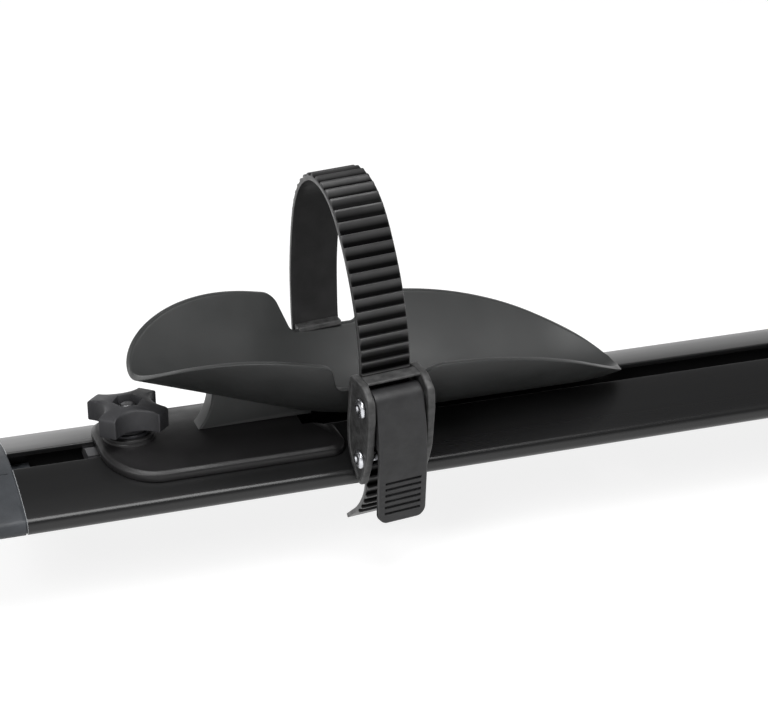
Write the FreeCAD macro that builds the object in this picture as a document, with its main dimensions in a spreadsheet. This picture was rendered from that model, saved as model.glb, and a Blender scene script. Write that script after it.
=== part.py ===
"""Roof bike carrier rail with two sliding wheel cradles, each with a ratchet strap.

Row frame: X along the rail, Y across it, Z up. The origin is the middle of the rail's
underside. Each holder is drawn about its own point: the middle of its strap, on the rail's
crown. Sizes are in millimetres.
"""
import FreeCAD
import Part
import math
import os
from FreeCAD import Placement, Rotation, Vector

doc = FreeCAD.newDocument("bike_carrier")
sheet = doc.addObject("Spreadsheet::Sheet", "sizes")

SIZES = [
    # rail
    ("rail_length", 1400), ("rail_height", 19), ("rail_half_width", 51), ("crown_radius", 130),
    ("shoulder_radius", 4), ("rail_corner", 5), ("rail_wall", 2.5), ("slot_half_width", 9.5),
    ("lip_thickness", 2.8), ("channel_half_width", 17), ("channel_floor", 2.5),
    ("mount_spacing", 700), ("mount_hole_radius", 4.25),
    # end caps
    ("cap_length", 28), ("cap_tongue", 12), ("cap_tongue_height", 6), ("cap_round", 7), ("cap_corner", 16),
    ("cap_groove", 0.8), ("cap_panel", 13), ("cap_groove_start", 3), ("cap_groove_depth", 1.2),
    ("slip_fit", 0.15),
    # holders along the rail
    ("bar_end_gap", 28), ("slide_gap", 0.3),
    # base plate
    ("plate_nose", 137.5), ("plate_end", 12), ("plate_half_width", 39), ("plate_thickness", 4.5),
    ("plate_corner", 28), ("plate_tail_corner", 8), ("plate_relief_reach", 30), ("plate_relief_half", 15),
    ("boss_radius", 13.5), ("boss_height", 2.6),
    # cradle
    ("keel_height", 0.8), ("keel_bend_start", 23), ("keel_radius", 191), ("keel_incline", 18.8),
    ("bow_start", 125), ("bow_radius", 136), ("flare", 0.0325), ("flare_power", 1.8),
    ("keel_soften", 6), ("cradle_wall", 3.2), ("nose_reach", 118.5), ("tip_reach", 159),
    ("nose_taper", 99), ("tip_taper", 130), ("plan_fullness", 0.4), ("cradle_half_width", 56),
    ("notch_floor", 33.5), ("notch_nose_side", 19.5), ("notch_tip_side", 19), ("notch_nose_lean", 0.35),
    ("notch_tip_lean", 0.9), ("notch_corner", 5), ("notch_nose_rim", 57.5), ("notch_tip_rim", 46.5),
    ("notch_nose_round", 9), ("notch_tip_round", 12),
    ("web_half_width", 6), ("web_front", 76), ("web_back", 22), ("web_foot", 8),
    ("web_screw_front", 66), ("web_screw_back", 42), ("screw_radius", 2.4), ("screw_reach", 6),
    ("screw_head_radius", 4.7), ("screw_head_height", 2.6),
    # clamp
    ("knob_offset", 120), ("bar_front", 143), ("bar_back", 97), ("bar_half_width", 16),
    ("bar_thickness", 5), ("bar_key_half_width", 5), ("bar_gap", 0.3), ("key_drop", 1.5),
    ("bolt_radius", 4), ("bolt_head_side", 13), ("bolt_head_height", 5.3),
    ("bolt_recess", 3), ("bolt_clearance", 0.3), ("thread_gap", 0.1),
    ("washer_radius", 11), ("washer_thickness", 1.6), ("knob_collar_radius", 9.5),
    ("knob_collar_height", 3), ("knob_reach", 21.5), ("knob_lobe_half", 5), ("knob_waist", 12.6),
    ("knob_lobe_height", 12.9), ("knob_fall", 2.2), ("knob_spin", 48), ("nut_flats", 13),
    ("nut_height", 6.5), ("nut_turn", 10), ("nut_gap", 0.3), ("nut_sink", 5.2), ("bolt_end_sink", 1.3),
    # strap
    ("strap_turn", 3), ("strap_lean", 3), ("strap_pivot", 38), ("strap_at_hook", 49.6),
    ("strap_in_buckle", 53), ("strap_width", 27.2),
    ("strap_thickness", 2.4), ("strap_margin", 0.9), ("tooth_height", 1.5), ("tooth_pitch", 6.5),
    ("tooth_root", 6), ("tooth_tip", 1), ("tooth_rake", 0.4), ("plain_start", 59.1), ("plain_end", 6),
    # strap hook and rivets
    ("hook_width", 25), ("hook_thickness", 3.4), ("hook_bottom", 12), ("hook_top", 35.8),
    ("hook_reach", 7), ("hook_lip", 33.2), ("hook_gap", 0.3), ("seat_gap", 0.15), ("rivet_radius", 2.2),
    ("rivet_head_radius", 4), ("rivet_head_height", 1.6), ("rivet_spacing", 12), ("rivet_height", 20),
    # buckle
    ("lever_width", 26.4), ("lever_side_gap", 1.1), ("cheek_thickness", 4),
    ("back_plate_thickness", 2.5), ("back_plate_gap", 0.8), ("back_plate_bottom", -3),
    ("lever_thickness", 4), ("lever_hub_radius", 8.8), ("lever_bottom", -33.5), ("lever_corner", 6),
    ("pin_radius", 2.5), ("pin_fit", 0.06), ("pin_head_radius", 5), ("pin_head_height", 2.2),
    ("pawl_width", 19), ("pawl_side_gap", 0.5), ("pawl_pin_radius", 1.5),
    ("grip_slots", 6), ("grip_pitch", 3.9),
    ("grip_slot_width", 1.6), ("grip_slot_depth", 1.2), ("grip_margin", 3.2), ("grip_start", 6),
    ("spring_wire", 1), ("spring_width", 5), ("spring_gap", 0.3),
]

for row, (alias, value) in enumerate(SIZES, start=1):
    sheet.set("A%d" % row, alias)
    sheet.set("B%d" % row, str(value))
    sheet.setAlias("B%d" % row, alias)
doc.recompute()


class Values:
    """Reads every driving size from the sheet as a plain number."""

    def __getattr__(self, alias):
        return float(sheet.get(alias))


size = Values()
nodes = {}

# The holder's place follows the rail's end: cap tongue, free run of the slide bar, then the bar
holder_reach = size.rail_length / 2 - size.cap_tongue - size.bar_end_gap - size.bar_front


# Curves for sketches
def rounded(points, radii):
    """Closed outline through the points, each corner rounded with its own radius."""
    count = len(points)
    corners = []
    for k in range(count):
        here = Vector(*points[k], 0)
        before = (Vector(*points[k - 1], 0) - here).normalize()
        after = (Vector(*points[(k + 1) % count], 0) - here).normalize()
        radius = radii[k] if isinstance(radii, (list, tuple)) else radii
        if radius == 0:
            corners.append((here, None, here))
            continue
        half = before.getAngle(after) / 2
        reach = radius / math.tan(half)
        middle = (before + after).normalize()
        centre = here + middle * (radius / math.sin(half))
        corners.append((here + before * reach, centre - middle * radius, here + after * reach))
    curves = []
    for k in range(count):
        start, through, end = corners[k]
        if through is not None:
            curves.append(Part.Arc(start, through, end))
        following = corners[(k + 1) % count][0]
        if (following - end).Length > 1e-6:
            curves.append(Part.LineSegment(end, following))
    return curves


def circle(x, y, radius):
    """One full circle."""
    return [Part.Circle(Vector(x, y, 0), Vector(0, 0, 1), radius)]


def rectangle(x_low, y_low, x_high, y_high):
    """A rectangle with sharp corners."""
    return rounded([(x_low, y_low), (x_high, y_low), (x_high, y_high), (x_low, y_high)], 0)


# Features
def new_body(label):
    """A fresh body."""
    body = doc.addObject("PartDesign::Body", label)
    body.Label = label
    return body


def sketch(body, role, curves, name):
    """A sketch on one of the body's own origin planes."""
    flat = body.newObject("Sketcher::SketchObject", name)
    plane = [f for f in body.Origin.OriginFeatures if f.Role == role][0]
    flat.AttachmentSupport = [(plane, "")]
    flat.MapMode = "FlatFace"
    for curve in curves:
        flat.addGeometry(curve, False)
    return flat


def pad(body, role, curves, name, length, middle=False, backwards=False):
    """Adds an extrusion whose length is an expression on the sheet."""
    grown = body.newObject("PartDesign::Pad", name)
    grown.Profile = sketch(body, role, curves, name + "_outline")
    grown.setExpression("Length", length)
    grown.Midplane = middle
    grown.Reversed = backwards
    doc.recompute()
    return grown


def pocket(body, role, curves, name, length, middle=False, backwards=False):
    """Cuts an extrusion and makes sure that it took something away."""
    before = body.Shape.Volume
    hollow = body.newObject("PartDesign::Pocket", name)
    hollow.Profile = sketch(body, role, curves, name + "_outline")
    hollow.setExpression("Length", length)
    hollow.Midplane = middle
    hollow.Reversed = backwards
    doc.recompute()
    if body.Shape.Volume > before - 1e-3:
        raise RuntimeError(name + " cuts nothing")


def box(label, corner, lengths, place=None):
    """A box whose sides are expressions on the sheet."""
    solid = doc.addObject("Part::Box", label)
    for side, text in zip(("Length", "Width", "Height"), lengths):
        solid.setExpression(side, text)
    solid.Placement = place or Placement(Vector(*corner), Rotation())
    return solid


def cylinder(label, radius, height, start, axis=Vector(0, 0, 1)):
    """A cylinder with its radius and height from the sheet."""
    solid = doc.addObject("Part::Cylinder", label)
    solid.setExpression("Radius", radius)
    solid.setExpression("Height", height)
    solid.Placement = Placement(Vector(*start), Rotation(Vector(0, 0, 1), axis))
    return solid


def fuse(label, shapes):
    """Joins several objects."""
    joined = doc.addObject("Part::MultiFuse", label)
    joined.Shapes = shapes
    joined.Refine = True
    return joined


def cut(label, base, tool):
    """Takes one object from another."""
    result = doc.addObject("Part::Cut", label)
    result.Base = base
    result.Tool = tool
    return result


def feature(label, shape):
    """An object with a shape of its own."""
    own = doc.addObject("Part::Feature", label)
    own.Shape = shape
    return own


def keep(node, thing, place=None):
    """Files a finished piece under its node name and puts it in its place."""
    thing.Label = node
    if place is not None:
        thing.Placement = place
    nodes[node] = thing


# Rail
crown = size.crown_radius
height = size.rail_height


def crown_z(y, radius=crown):
    """Height of an arc about the rail's crown axis, over the crown."""
    return math.sqrt(radius ** 2 - y ** 2) - crown


def rail_outline(open_slot):
    """Section of the rail's outside, with its slot and channel where it has them."""
    half, corner, shoulder = size.rail_half_width, size.rail_corner, size.shoulder_radius
    middle_y = half - shoulder
    middle_z = height - crown + math.sqrt((crown - shoulder) ** 2 - middle_y ** 2)
    scale = crown / (crown - shoulder)
    turn_y = middle_y * scale
    turn_z = height + crown_z(turn_y)
    slant = math.atan2(middle_z - (height - crown), middle_y) / 2
    through = (middle_y + shoulder * math.cos(slant), middle_z + shoulder * math.sin(slant))
    neck = size.slot_half_width
    inner = neck if open_slot else 0.0
    curves = []
    for side in (1, -1):
        def at(y, z, side=side):
            return Vector(side * y, z, 0)

        bend = corner * (1 - math.sqrt(0.5))
        mid_y = (inner + turn_y) / 2
        curves.append(Part.Arc(at(inner, height + crown_z(inner)), at(mid_y, height + crown_z(mid_y)),
                               at(turn_y, turn_z)))
        curves.append(Part.Arc(at(turn_y, turn_z), at(*through), at(half, middle_z)))
        curves.append(Part.LineSegment(at(half, middle_z), at(half, corner)))
        curves.append(Part.Arc(at(half, corner), at(half - bend, bend), at(half - corner, 0)))
        if open_slot:
            lip = height + crown_z(neck)
            under = lip - size.lip_thickness
            wide = size.channel_half_width
            stops = [(neck, lip), (neck, under), (wide, under), (wide, size.channel_floor)]
            for start, end in zip(stops[:-1], stops[1:]):
                curves.append(Part.LineSegment(at(*start), at(*end)))
    curves.append(Part.LineSegment(Vector(half - corner, 0, 0), Vector(corner - half, 0, 0)))
    if open_slot:
        floor, wide = size.channel_floor, size.channel_half_width
        curves.append(Part.LineSegment(Vector(wide, floor, 0), Vector(-wide, floor, 0)))
    return curves


def rail_chamber(side):
    """One closed hollow beside the channel."""
    wall = size.rail_wall
    near = size.channel_half_width + wall
    far = size.rail_half_width - wall
    inner = crown - wall
    reach = far - size.shoulder_radius
    top_near = height + crown_z(near, inner)
    top_far = height + crown_z(reach, inner)
    middle = (near + reach) / 2
    stops = [(reach, top_far), (far, top_far - size.shoulder_radius), (far, size.channel_floor),
             (near, size.channel_floor), (near, top_near)]
    curves = [Part.Arc(Vector(side * near, top_near, 0),
                       Vector(side * middle, height + crown_z(middle, inner), 0),
                       Vector(side * reach, top_far, 0))]
    for start, end in zip(stops[:-1], stops[1:]):
        curves.append(Part.LineSegment(Vector(side * start[0], start[1], 0),
                                       Vector(side * end[0], end[1], 0)))
    return curves


rail = new_body("rail")
pad(rail, "YZ_Plane", rail_outline(True) + rail_chamber(1) + rail_chamber(-1), "rail_profile",
    "sizes.rail_length", middle=True)
mount_x = size.mount_spacing / 2
mount_holes = circle(mount_x, 0, size.mount_hole_radius) + circle(-mount_x, 0, size.mount_hole_radius)
pocket(rail, "XY_Plane", mount_holes, "mount_holes", "sizes.channel_floor", backwards=True)
keep("rail", rail)


# End caps
def end_cap(node, side):
    """Closes one rail end: a rounded cap with a tongue in the rail's channel."""
    shell = new_body(node + "_section")
    pad(shell, "YZ_Plane", rail_outline(False), node + "_profile", "sizes.cap_length")
    plan = new_body(node + "_plan")
    half, length, corner = size.rail_half_width, size.cap_length, size.cap_corner
    pad(plan, "XY_Plane", rounded([(-1, -half - 1), (length, -half - 1), (length, half + 1), (-1, half + 1)],
                                  [0, corner, corner, 0]), node + "_plan_pad", "sizes.rail_height + 2")
    front = new_body(node + "_front")
    rim = size.cap_round
    low, high = -0.01, height + 0.01
    profile = rounded([(-1, low), (length, low), (length, high), (-1, high)], [0, rim, rim, 0])
    pad(front, "XZ_Plane", profile, node + "_front_pad", "2 * sizes.rail_half_width + 4", middle=True)
    inside = doc.addObject("Part::MultiCommon", node + "_body")
    inside.Shapes = [shell, plan, front]
    gap = size.slip_fit
    corner = (-size.cap_tongue, -size.channel_half_width + gap, size.channel_floor + gap)
    tongue = box(node + "_tongue", corner,
                 ("sizes.cap_tongue + 1", "2 * (sizes.channel_half_width - sizes.slip_fit)",
                  "sizes.cap_tongue_height"))
    joined = fuse(node + "_joined", [inside, tongue])
    panel, start = size.cap_panel, size.cap_groove_start
    deep = height + crown_z(panel) - size.cap_groove_depth
    reach = length - rim
    grooves = [box(node + "_groove_end", (reach, -panel, deep),
                   ("sizes.cap_groove", "2 * sizes.cap_panel + sizes.cap_groove", "sizes.rail_height"))]
    for k, y in enumerate((-panel, panel)):
        grooves.append(box(node + "_groove_%d" % k, (start, y, deep),
                           ("sizes.cap_length - sizes.cap_round - sizes.cap_groove_start",
                            "sizes.cap_groove", "sizes.rail_height")))
    cap = cut(node, joined, fuse(node + "_grooves", grooves))
    turn = Rotation(Vector(0, 0, 1), 0 if side > 0 else 180)
    keep(node, cap, Placement(Vector(side * size.rail_length / 2, 0, 0), turn))


end_cap("right_end_cap", 1)
end_cap("left_end_cap", -1)


# Cradle surface
WEB_SCREWS = (size.web_screw_front, size.web_screw_back)


def keel(x):
    """Height of the cradle's underside on its middle line: flat, an arc, then a straight incline."""
    rise = size.keel_height
    slope = math.radians(size.keel_incline)
    bend = size.keel_bend_start
    straight = bend - size.keel_radius * math.sin(slope)
    if x < straight:
        rise += size.keel_radius * (1 - math.cos(slope)) + (straight - x) * math.tan(slope)
    elif x < bend:
        rise += size.keel_radius - math.sqrt(size.keel_radius ** 2 - (bend - x) ** 2)
    if x > size.bow_start:
        rise += (x - size.bow_start) ** 2 / (2 * size.bow_radius)
    return rise


def bowl(y):
    """How much the underside rises from the middle line out to y."""
    soft, power = size.keel_soften, size.flare_power
    return size.flare * ((y * y + soft * soft) ** (power / 2) - soft ** power)


def cradle_point(x, y, lift):
    """A point lifted off the cradle's underside along its normal."""
    step = 0.01
    slope_x = (keel(x + step) - keel(x - step)) / (2 * step)
    slope_y = (bowl(y + step) - bowl(y - step)) / (2 * step)
    normal = Vector(-slope_x, -slope_y, 1).normalize()
    return Vector(x, y, keel(x) + bowl(y)) + normal * lift


def cradle_slab(low, high):
    """The boat between two offsets of its underside, before it is trimmed."""
    def steps(start, end, count):
        return [start + (end - start) * k / (count - 1) for k in range(count)]

    xs = steps(-size.nose_reach - 12, size.tip_reach + 12, 27)
    ys = steps(-size.cradle_half_width - 9, size.cradle_half_width + 9, 21)
    sheets = []
    for lift in (low, high):
        surface = Part.BSplineSurface()
        surface.interpolate([[cradle_point(x, y, lift) for y in ys] for x in xs])
        sheets.append(surface)
    faces = [surface.toShape() for surface in sheets]
    u0, u1, v0, v1 = sheets[0].bounds()
    for pick in (lambda s: s.uIso(u0), lambda s: s.uIso(u1), lambda s: s.vIso(v0), lambda s: s.vIso(v1)):
        faces.append(Part.makeRuledSurface(pick(sheets[0]).toShape(), pick(sheets[1]).toShape()))
    shell = Part.Shell(faces)
    shell.sewShape()
    solid = Part.Solid(shell)
    if solid.Volume < 0:
        solid.reverse()
    return solid


def plan_share(angle):
    """Share of the full width at an angle round the nose or tip: 0 at the end, 1 at the sides."""
    return max(math.sin(angle), 0) ** (2 * size.plan_fullness)


def cradle_plan():
    """Plan outline as a prism: a full rounded nose, straight sides and a full rounded tip."""
    wide = size.cradle_half_width
    nose_x = size.nose_taper - size.nose_reach
    tip_x = size.tip_reach - size.tip_taper
    ends = []
    for centre, reach in ((nose_x, -size.nose_taper), (tip_x, size.tip_taper)):
        half = [(centre + reach * math.cos(math.radians(angle)), wide * plan_share(math.radians(angle)))
                for angle in (90, 80, 70, 60, 50, 40, 31, 23, 16, 10, 5)]
        points = half + [(centre + reach, 0)] + [(x, -y) for x, y in reversed(half)]
        end = Part.BSplineCurve()
        end.interpolate([Vector(x, y, 0) for x, y in points])
        ends.append(end.toShape())
    edges = [ends[0], Part.makeLine(Vector(nose_x, -wide, 0), Vector(tip_x, -wide, 0)),
             ends[1], Part.makeLine(Vector(tip_x, wide, 0), Vector(nose_x, wide, 0))]
    face = Part.Face(Part.Wire(Part.__sortEdges__(edges)))
    face.translate(Vector(0, 0, -20))
    return face.extrude(Vector(0, 0, 120))


def above_rim():
    """What lies over the rim: the walls end level, and the wall is whole at the nose and tip."""
    wide = size.cradle_half_width
    stops = []
    for centre, taper, first, last in ((size.nose_taper - size.nose_reach, size.nose_taper, 180, 90),
                                       (size.tip_reach - size.tip_taper, size.tip_taper, 90, 0)):
        for k in range(9):
            angle = math.radians(first + (last - first) * k / 8)
            share = plan_share(angle)
            x = centre + taper * math.cos(angle)
            level = keel(x) + bowl(wide * share) + 1.2 * size.cradle_wall * (1 - share)
            stops.append(Vector(x, 0, level))
    ends = [Vector(stops[0].x - 5, 0, stops[0].z), Vector(stops[-1].x + 5, 0, stops[-1].z)]
    rim = Part.BSplineCurve()
    rim.interpolate(stops)
    top = 130
    corners = [stops[-1], ends[1], Vector(ends[1].x, 0, top), Vector(ends[0].x, 0, top), ends[0], stops[0]]
    edges = [rim.toShape()] + [Part.makeLine(p, q) for p, q in zip(corners[:-1], corners[1:])]
    face = Part.Face(Part.Wire(Part.__sortEdges__(edges)))
    face.translate(Vector(0, -wide - 10, 0))
    return face.extrude(Vector(0, 2 * wide + 20, 0))


def notch_cutter(grow=0.0):
    """The strap's notch through both walls, with rounded corners at its foot and mouth."""
    low = size.notch_floor - grow
    front, back = -size.notch_nose_side - grow, size.notch_tip_side + grow
    front_rim = front - size.notch_nose_lean * (size.notch_nose_rim - low)
    back_rim = back + size.notch_tip_lean * (size.notch_tip_rim - low)
    away, above = 30, 30
    points = [(front, low), (back, low), (back_rim, size.notch_tip_rim),
              (back_rim + away, size.notch_tip_rim), (back_rim + away, size.notch_nose_rim + above),
              (front_rim - away, size.notch_nose_rim + above), (front_rim - away, size.notch_nose_rim),
              (front_rim, size.notch_nose_rim)]
    radii = [size.notch_corner, size.notch_corner, size.notch_tip_round, 0, 0, 0, 0, size.notch_nose_round]
    edges = [curve.toShape() for curve in rounded(points, radii)]
    face = Part.Face(Part.Wire(Part.__sortEdges__(edges)))
    face.rotate(Vector(0, 0, 0), Vector(1, 0, 0), 90)
    reach = size.cradle_half_width + 20
    face.translate(Vector(0, reach, 0))
    return face.extrude(Vector(0, -2 * reach, 0))


def web_shape():
    """The keel web under the bowl: its foot flares towards the nose and stands on the plate."""
    foot = size.slide_gap + size.plate_thickness
    front, back, flare = -size.web_front, -size.web_back, size.web_foot
    bury = size.cradle_wall / 2
    top = [Vector(front + (back - front) * k / 8, 0, 0) for k in range(9)]
    top = [Vector(p.x, 0, keel(p.x) + bury) for p in top]
    lower = Vector(front - flare, 0, foot)
    bend = Vector(front - 0.3 * flare, 0, foot + 0.45 * (top[0].z - foot))
    edges = [Part.Arc(lower, bend, top[0]).toShape()]
    edges += [Part.makeLine(a, b) for a, b in zip(top[:-1], top[1:])]
    edges += [Part.makeLine(top[-1], Vector(back, 0, foot)), Part.makeLine(Vector(back, 0, foot), lower)]
    face = Part.Face(Part.Wire(edges))
    face.translate(Vector(0, -size.web_half_width, 0))
    return face.extrude(Vector(0, 2 * size.web_half_width, 0))


def cradle_shape():
    """The whole moulding: trimmed bowl, strap notches, web and screw holes."""
    boat = cradle_slab(0, size.cradle_wall).common(cradle_plan()).cut(above_rim()).cut(notch_cutter())
    moulding = boat.fuse(web_shape())
    for x in WEB_SCREWS:
        depth = size.slide_gap + size.plate_thickness + size.screw_reach + 1
        hole = Part.makeCylinder(size.screw_radius + size.thread_gap, depth, Vector(-x, 0, 0))
        moulding = moulding.cut(hole)
    return moulding.removeSplitter()


cradle = cradle_shape()
cradle_clearance = cradle_slab(-size.hook_gap, size.cradle_wall + size.hook_gap).common(
    cradle_plan()).cut(notch_cutter(-size.hook_gap))


# Strap path
strap_in_buckle = -size.strap_in_buckle
strap_at_hook = size.strap_at_hook
STRAP_ROUTE = [(strap_at_hook, size.hook_bottom + 1), (strap_at_hook, 21), (strap_at_hook, 30),
               (strap_at_hook, 38), (strap_at_hook - 1, 49), (46, 68),
               (40.8, 88), (32.5, 109.5), (19.5, 126.3), (1, 135.3), (-16, 133.8), (-29.8, 125),
               (-38.8, 112.6), (-46.3, 97.8), (-52, 81), (-55, 65), (-55, 50), (strap_in_buckle - 0.2, 36),
               (strap_in_buckle, 20), (strap_in_buckle - 0.7, 2), (strap_in_buckle - 1.2, -10), (-52.2, -20),
               (-47.2, -28.3), (-40, -36.3), (-31.5, -43.3), (-22, -50.3)]
strap_line = Part.BSplineCurve()
strap_line.interpolate([Vector(0, y, z) for y, z in STRAP_ROUTE])
strap_length = strap_line.length()


def strap_place(distance):
    """Point, direction and outward side of the strap's middle at a distance from the hook."""
    parameter = strap_line.parameterAtDistance(distance, strap_line.FirstParameter)
    point = strap_line.value(parameter)
    along = strap_line.tangent(parameter)[0].normalize()
    outward = Vector(1, 0, 0).cross(along)
    return point, along, outward * -1


def strap_shape():
    """A smooth band with saw teeth on its outside, plain where it passes the wall."""
    half = size.strap_thickness / 2
    count = 64
    lines = []
    for side in (-half, half):
        places = [strap_place(strap_length * k / count) for k in range(count + 1)]
        curve = Part.BSplineCurve()
        curve.interpolate([point + outward * side for point, along, outward in places])
        lines.append(curve)
    ends = [Part.makeLine(lines[0].value(lines[0].FirstParameter), lines[1].value(lines[1].FirstParameter)),
            Part.makeLine(lines[0].value(lines[0].LastParameter), lines[1].value(lines[1].LastParameter))]
    wire = Part.Wire(Part.__sortEdges__([lines[0].toShape(), ends[1], lines[1].toShape(), ends[0]]))
    face = Part.Face(wire)
    face.translate(Vector(-size.strap_width / 2, 0, 0))
    band = face.extrude(Vector(size.strap_width, 0, 0))
    teeth = []
    first, last = size.plain_start, strap_length - size.plain_end
    wide = size.strap_width - 2 * size.strap_margin
    for k in range(int((last - first) / size.tooth_pitch)):
        point, along, outward = strap_place(first + k * size.tooth_pitch)
        foot = point + outward * (half - 0.6)
        crest = point + outward * (half + size.tooth_height)
        steep = along * (size.tooth_root / 2)
        ridge = crest - steep + along * size.tooth_rake
        corners = [foot - steep, ridge, ridge + along * size.tooth_tip, foot + steep]
        tooth = Part.Face(Part.makePolygon(corners + [corners[0]]))
        tooth.translate(Vector(-wide / 2, 0, 0))
        teeth.append(tooth.extrude(Vector(wide, 0, 0)))
    return band.fuse(teeth).removeSplitter()


strap = strap_shape()


# Holder pieces
def base_plate(node, place, turn):
    """The plate that rides on the rail's crown, with the ring boss under the knob."""
    under = crown + size.slide_gap
    over = under + size.plate_thickness
    edge = size.plate_half_width + 4

    def arc(radius, start, end):
        middle = (start + end) / 2
        return Part.Arc(Vector(start, crown_z(start, radius), 0), Vector(middle, crown_z(middle, radius), 0),
                        Vector(end, crown_z(end, radius), 0))

    band = new_body(node + "_band")
    section = [arc(under, -edge, edge), arc(over, edge, -edge)]
    for y in (-edge, edge):
        section.append(Part.LineSegment(Vector(y, crown_z(y, under), 0), Vector(y, crown_z(y, over), 0)))
    pad(band, "YZ_Plane", section, node + "_section", "sizes.plate_nose + 2", backwards=True)
    plan = new_body(node + "_plan")
    half, corner, tail = size.plate_half_width, size.plate_corner, size.plate_tail_corner
    outline = rounded([(-size.plate_nose, -half), (-size.plate_end, -half), (-size.plate_end, half),
                       (-size.plate_nose, half)], [corner, tail, tail, corner])
    pad(plan, "XY_Plane", outline, node + "_plan_pad", "2 * sizes.rail_height", middle=True)
    trimmed = doc.addObject("Part::MultiCommon", node + "_trimmed")
    trimmed.Shapes = [band, plan]
    top = size.slide_gap + size.plate_thickness
    boss = cylinder(node + "_boss", "sizes.boss_radius", "sizes.boss_height + 1",
                    (-size.knob_offset, 0, top - 1))
    whole = fuse(node + "_whole", [trimmed, boss])
    hole = cylinder(node + "_bolt_hole", "sizes.bolt_radius + sizes.bolt_clearance", "20",
                    (-size.knob_offset, 0, -5))
    relief = box(node + "_relief", (-size.plate_relief_reach, -size.plate_relief_half, -5),
                 ("sizes.plate_relief_reach", "2 * sizes.plate_relief_half", "20"))
    tools = [hole, relief]
    for k, x in enumerate(WEB_SCREWS):
        tools.append(cylinder(node + "_screw_hole_%d" % k, "sizes.screw_radius + sizes.thread_gap", "20",
                              (-x, 0, -5)))
        sink = doc.addObject("Part::Cone", node + "_sink_%d" % k)
        sink.setExpression("Radius1", "sizes.screw_head_radius + sizes.thread_gap")
        sink.setExpression("Radius2", "sizes.screw_radius + sizes.thread_gap")
        sink.setExpression("Height", "sizes.screw_head_height")
        sink.Placement = Placement(Vector(-x, 0, size.slide_gap), Rotation())
        tools.append(sink)
    keep(node, cut(node, whole, fuse(node + "_tools", tools)), place * turn)


def screws(node, place, turn):
    """Two countersunk screws that hold the cradle's web to the plate."""
    parts = []
    for k, x in enumerate(WEB_SCREWS):
        head = doc.addObject("Part::Cone", node + "_head_%d" % k)
        head.setExpression("Radius1", "sizes.screw_head_radius")
        head.setExpression("Radius2", "sizes.screw_radius")
        head.setExpression("Height", "sizes.screw_head_height")
        head.Placement = Placement(Vector(-x, 0, size.slide_gap), Rotation())
        shank = cylinder(node + "_shank_%d" % k, "sizes.screw_radius",
                         "sizes.plate_thickness + sizes.screw_reach", (-x, 0, size.slide_gap))
        parts.append(fuse(node + "_%d" % k, [head, shank]))
    both = doc.addObject("Part::Compound", node)
    both.Links = parts
    keep(node, both, place * turn)


def slide_bar(node, place, turn):
    """The bar under the rail's lips, with a key that stands in the slot."""
    lip = crown_z(size.slot_half_width) - size.lip_thickness
    top = lip - size.bar_gap
    wide, key = size.bar_half_width, size.bar_key_half_width
    low = top - size.bar_thickness
    crest = -size.key_drop
    bar = new_body(node)
    outline = rounded([(-wide, low), (wide, low), (wide, top), (key, top), (key, crest), (-key, crest),
                       (-key, top), (-wide, top)], 0)
    pad(bar, "YZ_Plane", outline, node + "_bar", "sizes.bar_front", backwards=True)
    pocket(bar, "XZ_Plane", rectangle(-size.bar_back, low - 1, 1, crest + 1), node + "_length",
           "4 * sizes.bar_half_width", middle=True)
    bore = size.bolt_radius + size.thread_gap
    pocket(bar, "XY_Plane", circle(-size.knob_offset, 0, bore), node + "_bore", "60", middle=True)
    half = size.bolt_head_side / 2 + 0.1
    recess = box(node + "_recess", (-size.knob_offset - half, -half, low - 1),
                 ("sizes.bolt_head_side + 0.2", "sizes.bolt_head_side + 0.2", "sizes.bolt_recess + 1"))
    keep(node, cut(node + "_cut", bar, recess), place * turn)
    bar.Label = node + "_body"
    nodes[node].Label = node
    return low


def clamp_bolt(node, place, turn, bar_low):
    """The square-headed bolt that the knob draws up."""
    top = size.bolt_recess + bar_low
    end = knob_top() - size.bolt_end_sink
    shank = cylinder(node + "_shank", "sizes.bolt_radius", str(round(end - top + 1, 4)),
                     (-size.knob_offset, 0, top - 1))
    half = size.bolt_head_side / 2
    head = box(node + "_head", (-size.knob_offset - half, -half, top - size.bolt_head_height),
               ("sizes.bolt_head_side", "sizes.bolt_head_side", "sizes.bolt_head_height"))
    keep(node, fuse(node, [shank, head]), place * turn)


def knob_bottom():
    """Height of the knob's seat on its washer."""
    return size.slide_gap + size.plate_thickness + size.boss_height + size.washer_thickness


def knob_top():
    """Height of the top of the knob."""
    return knob_bottom() + size.knob_collar_height + size.knob_lobe_height


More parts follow.
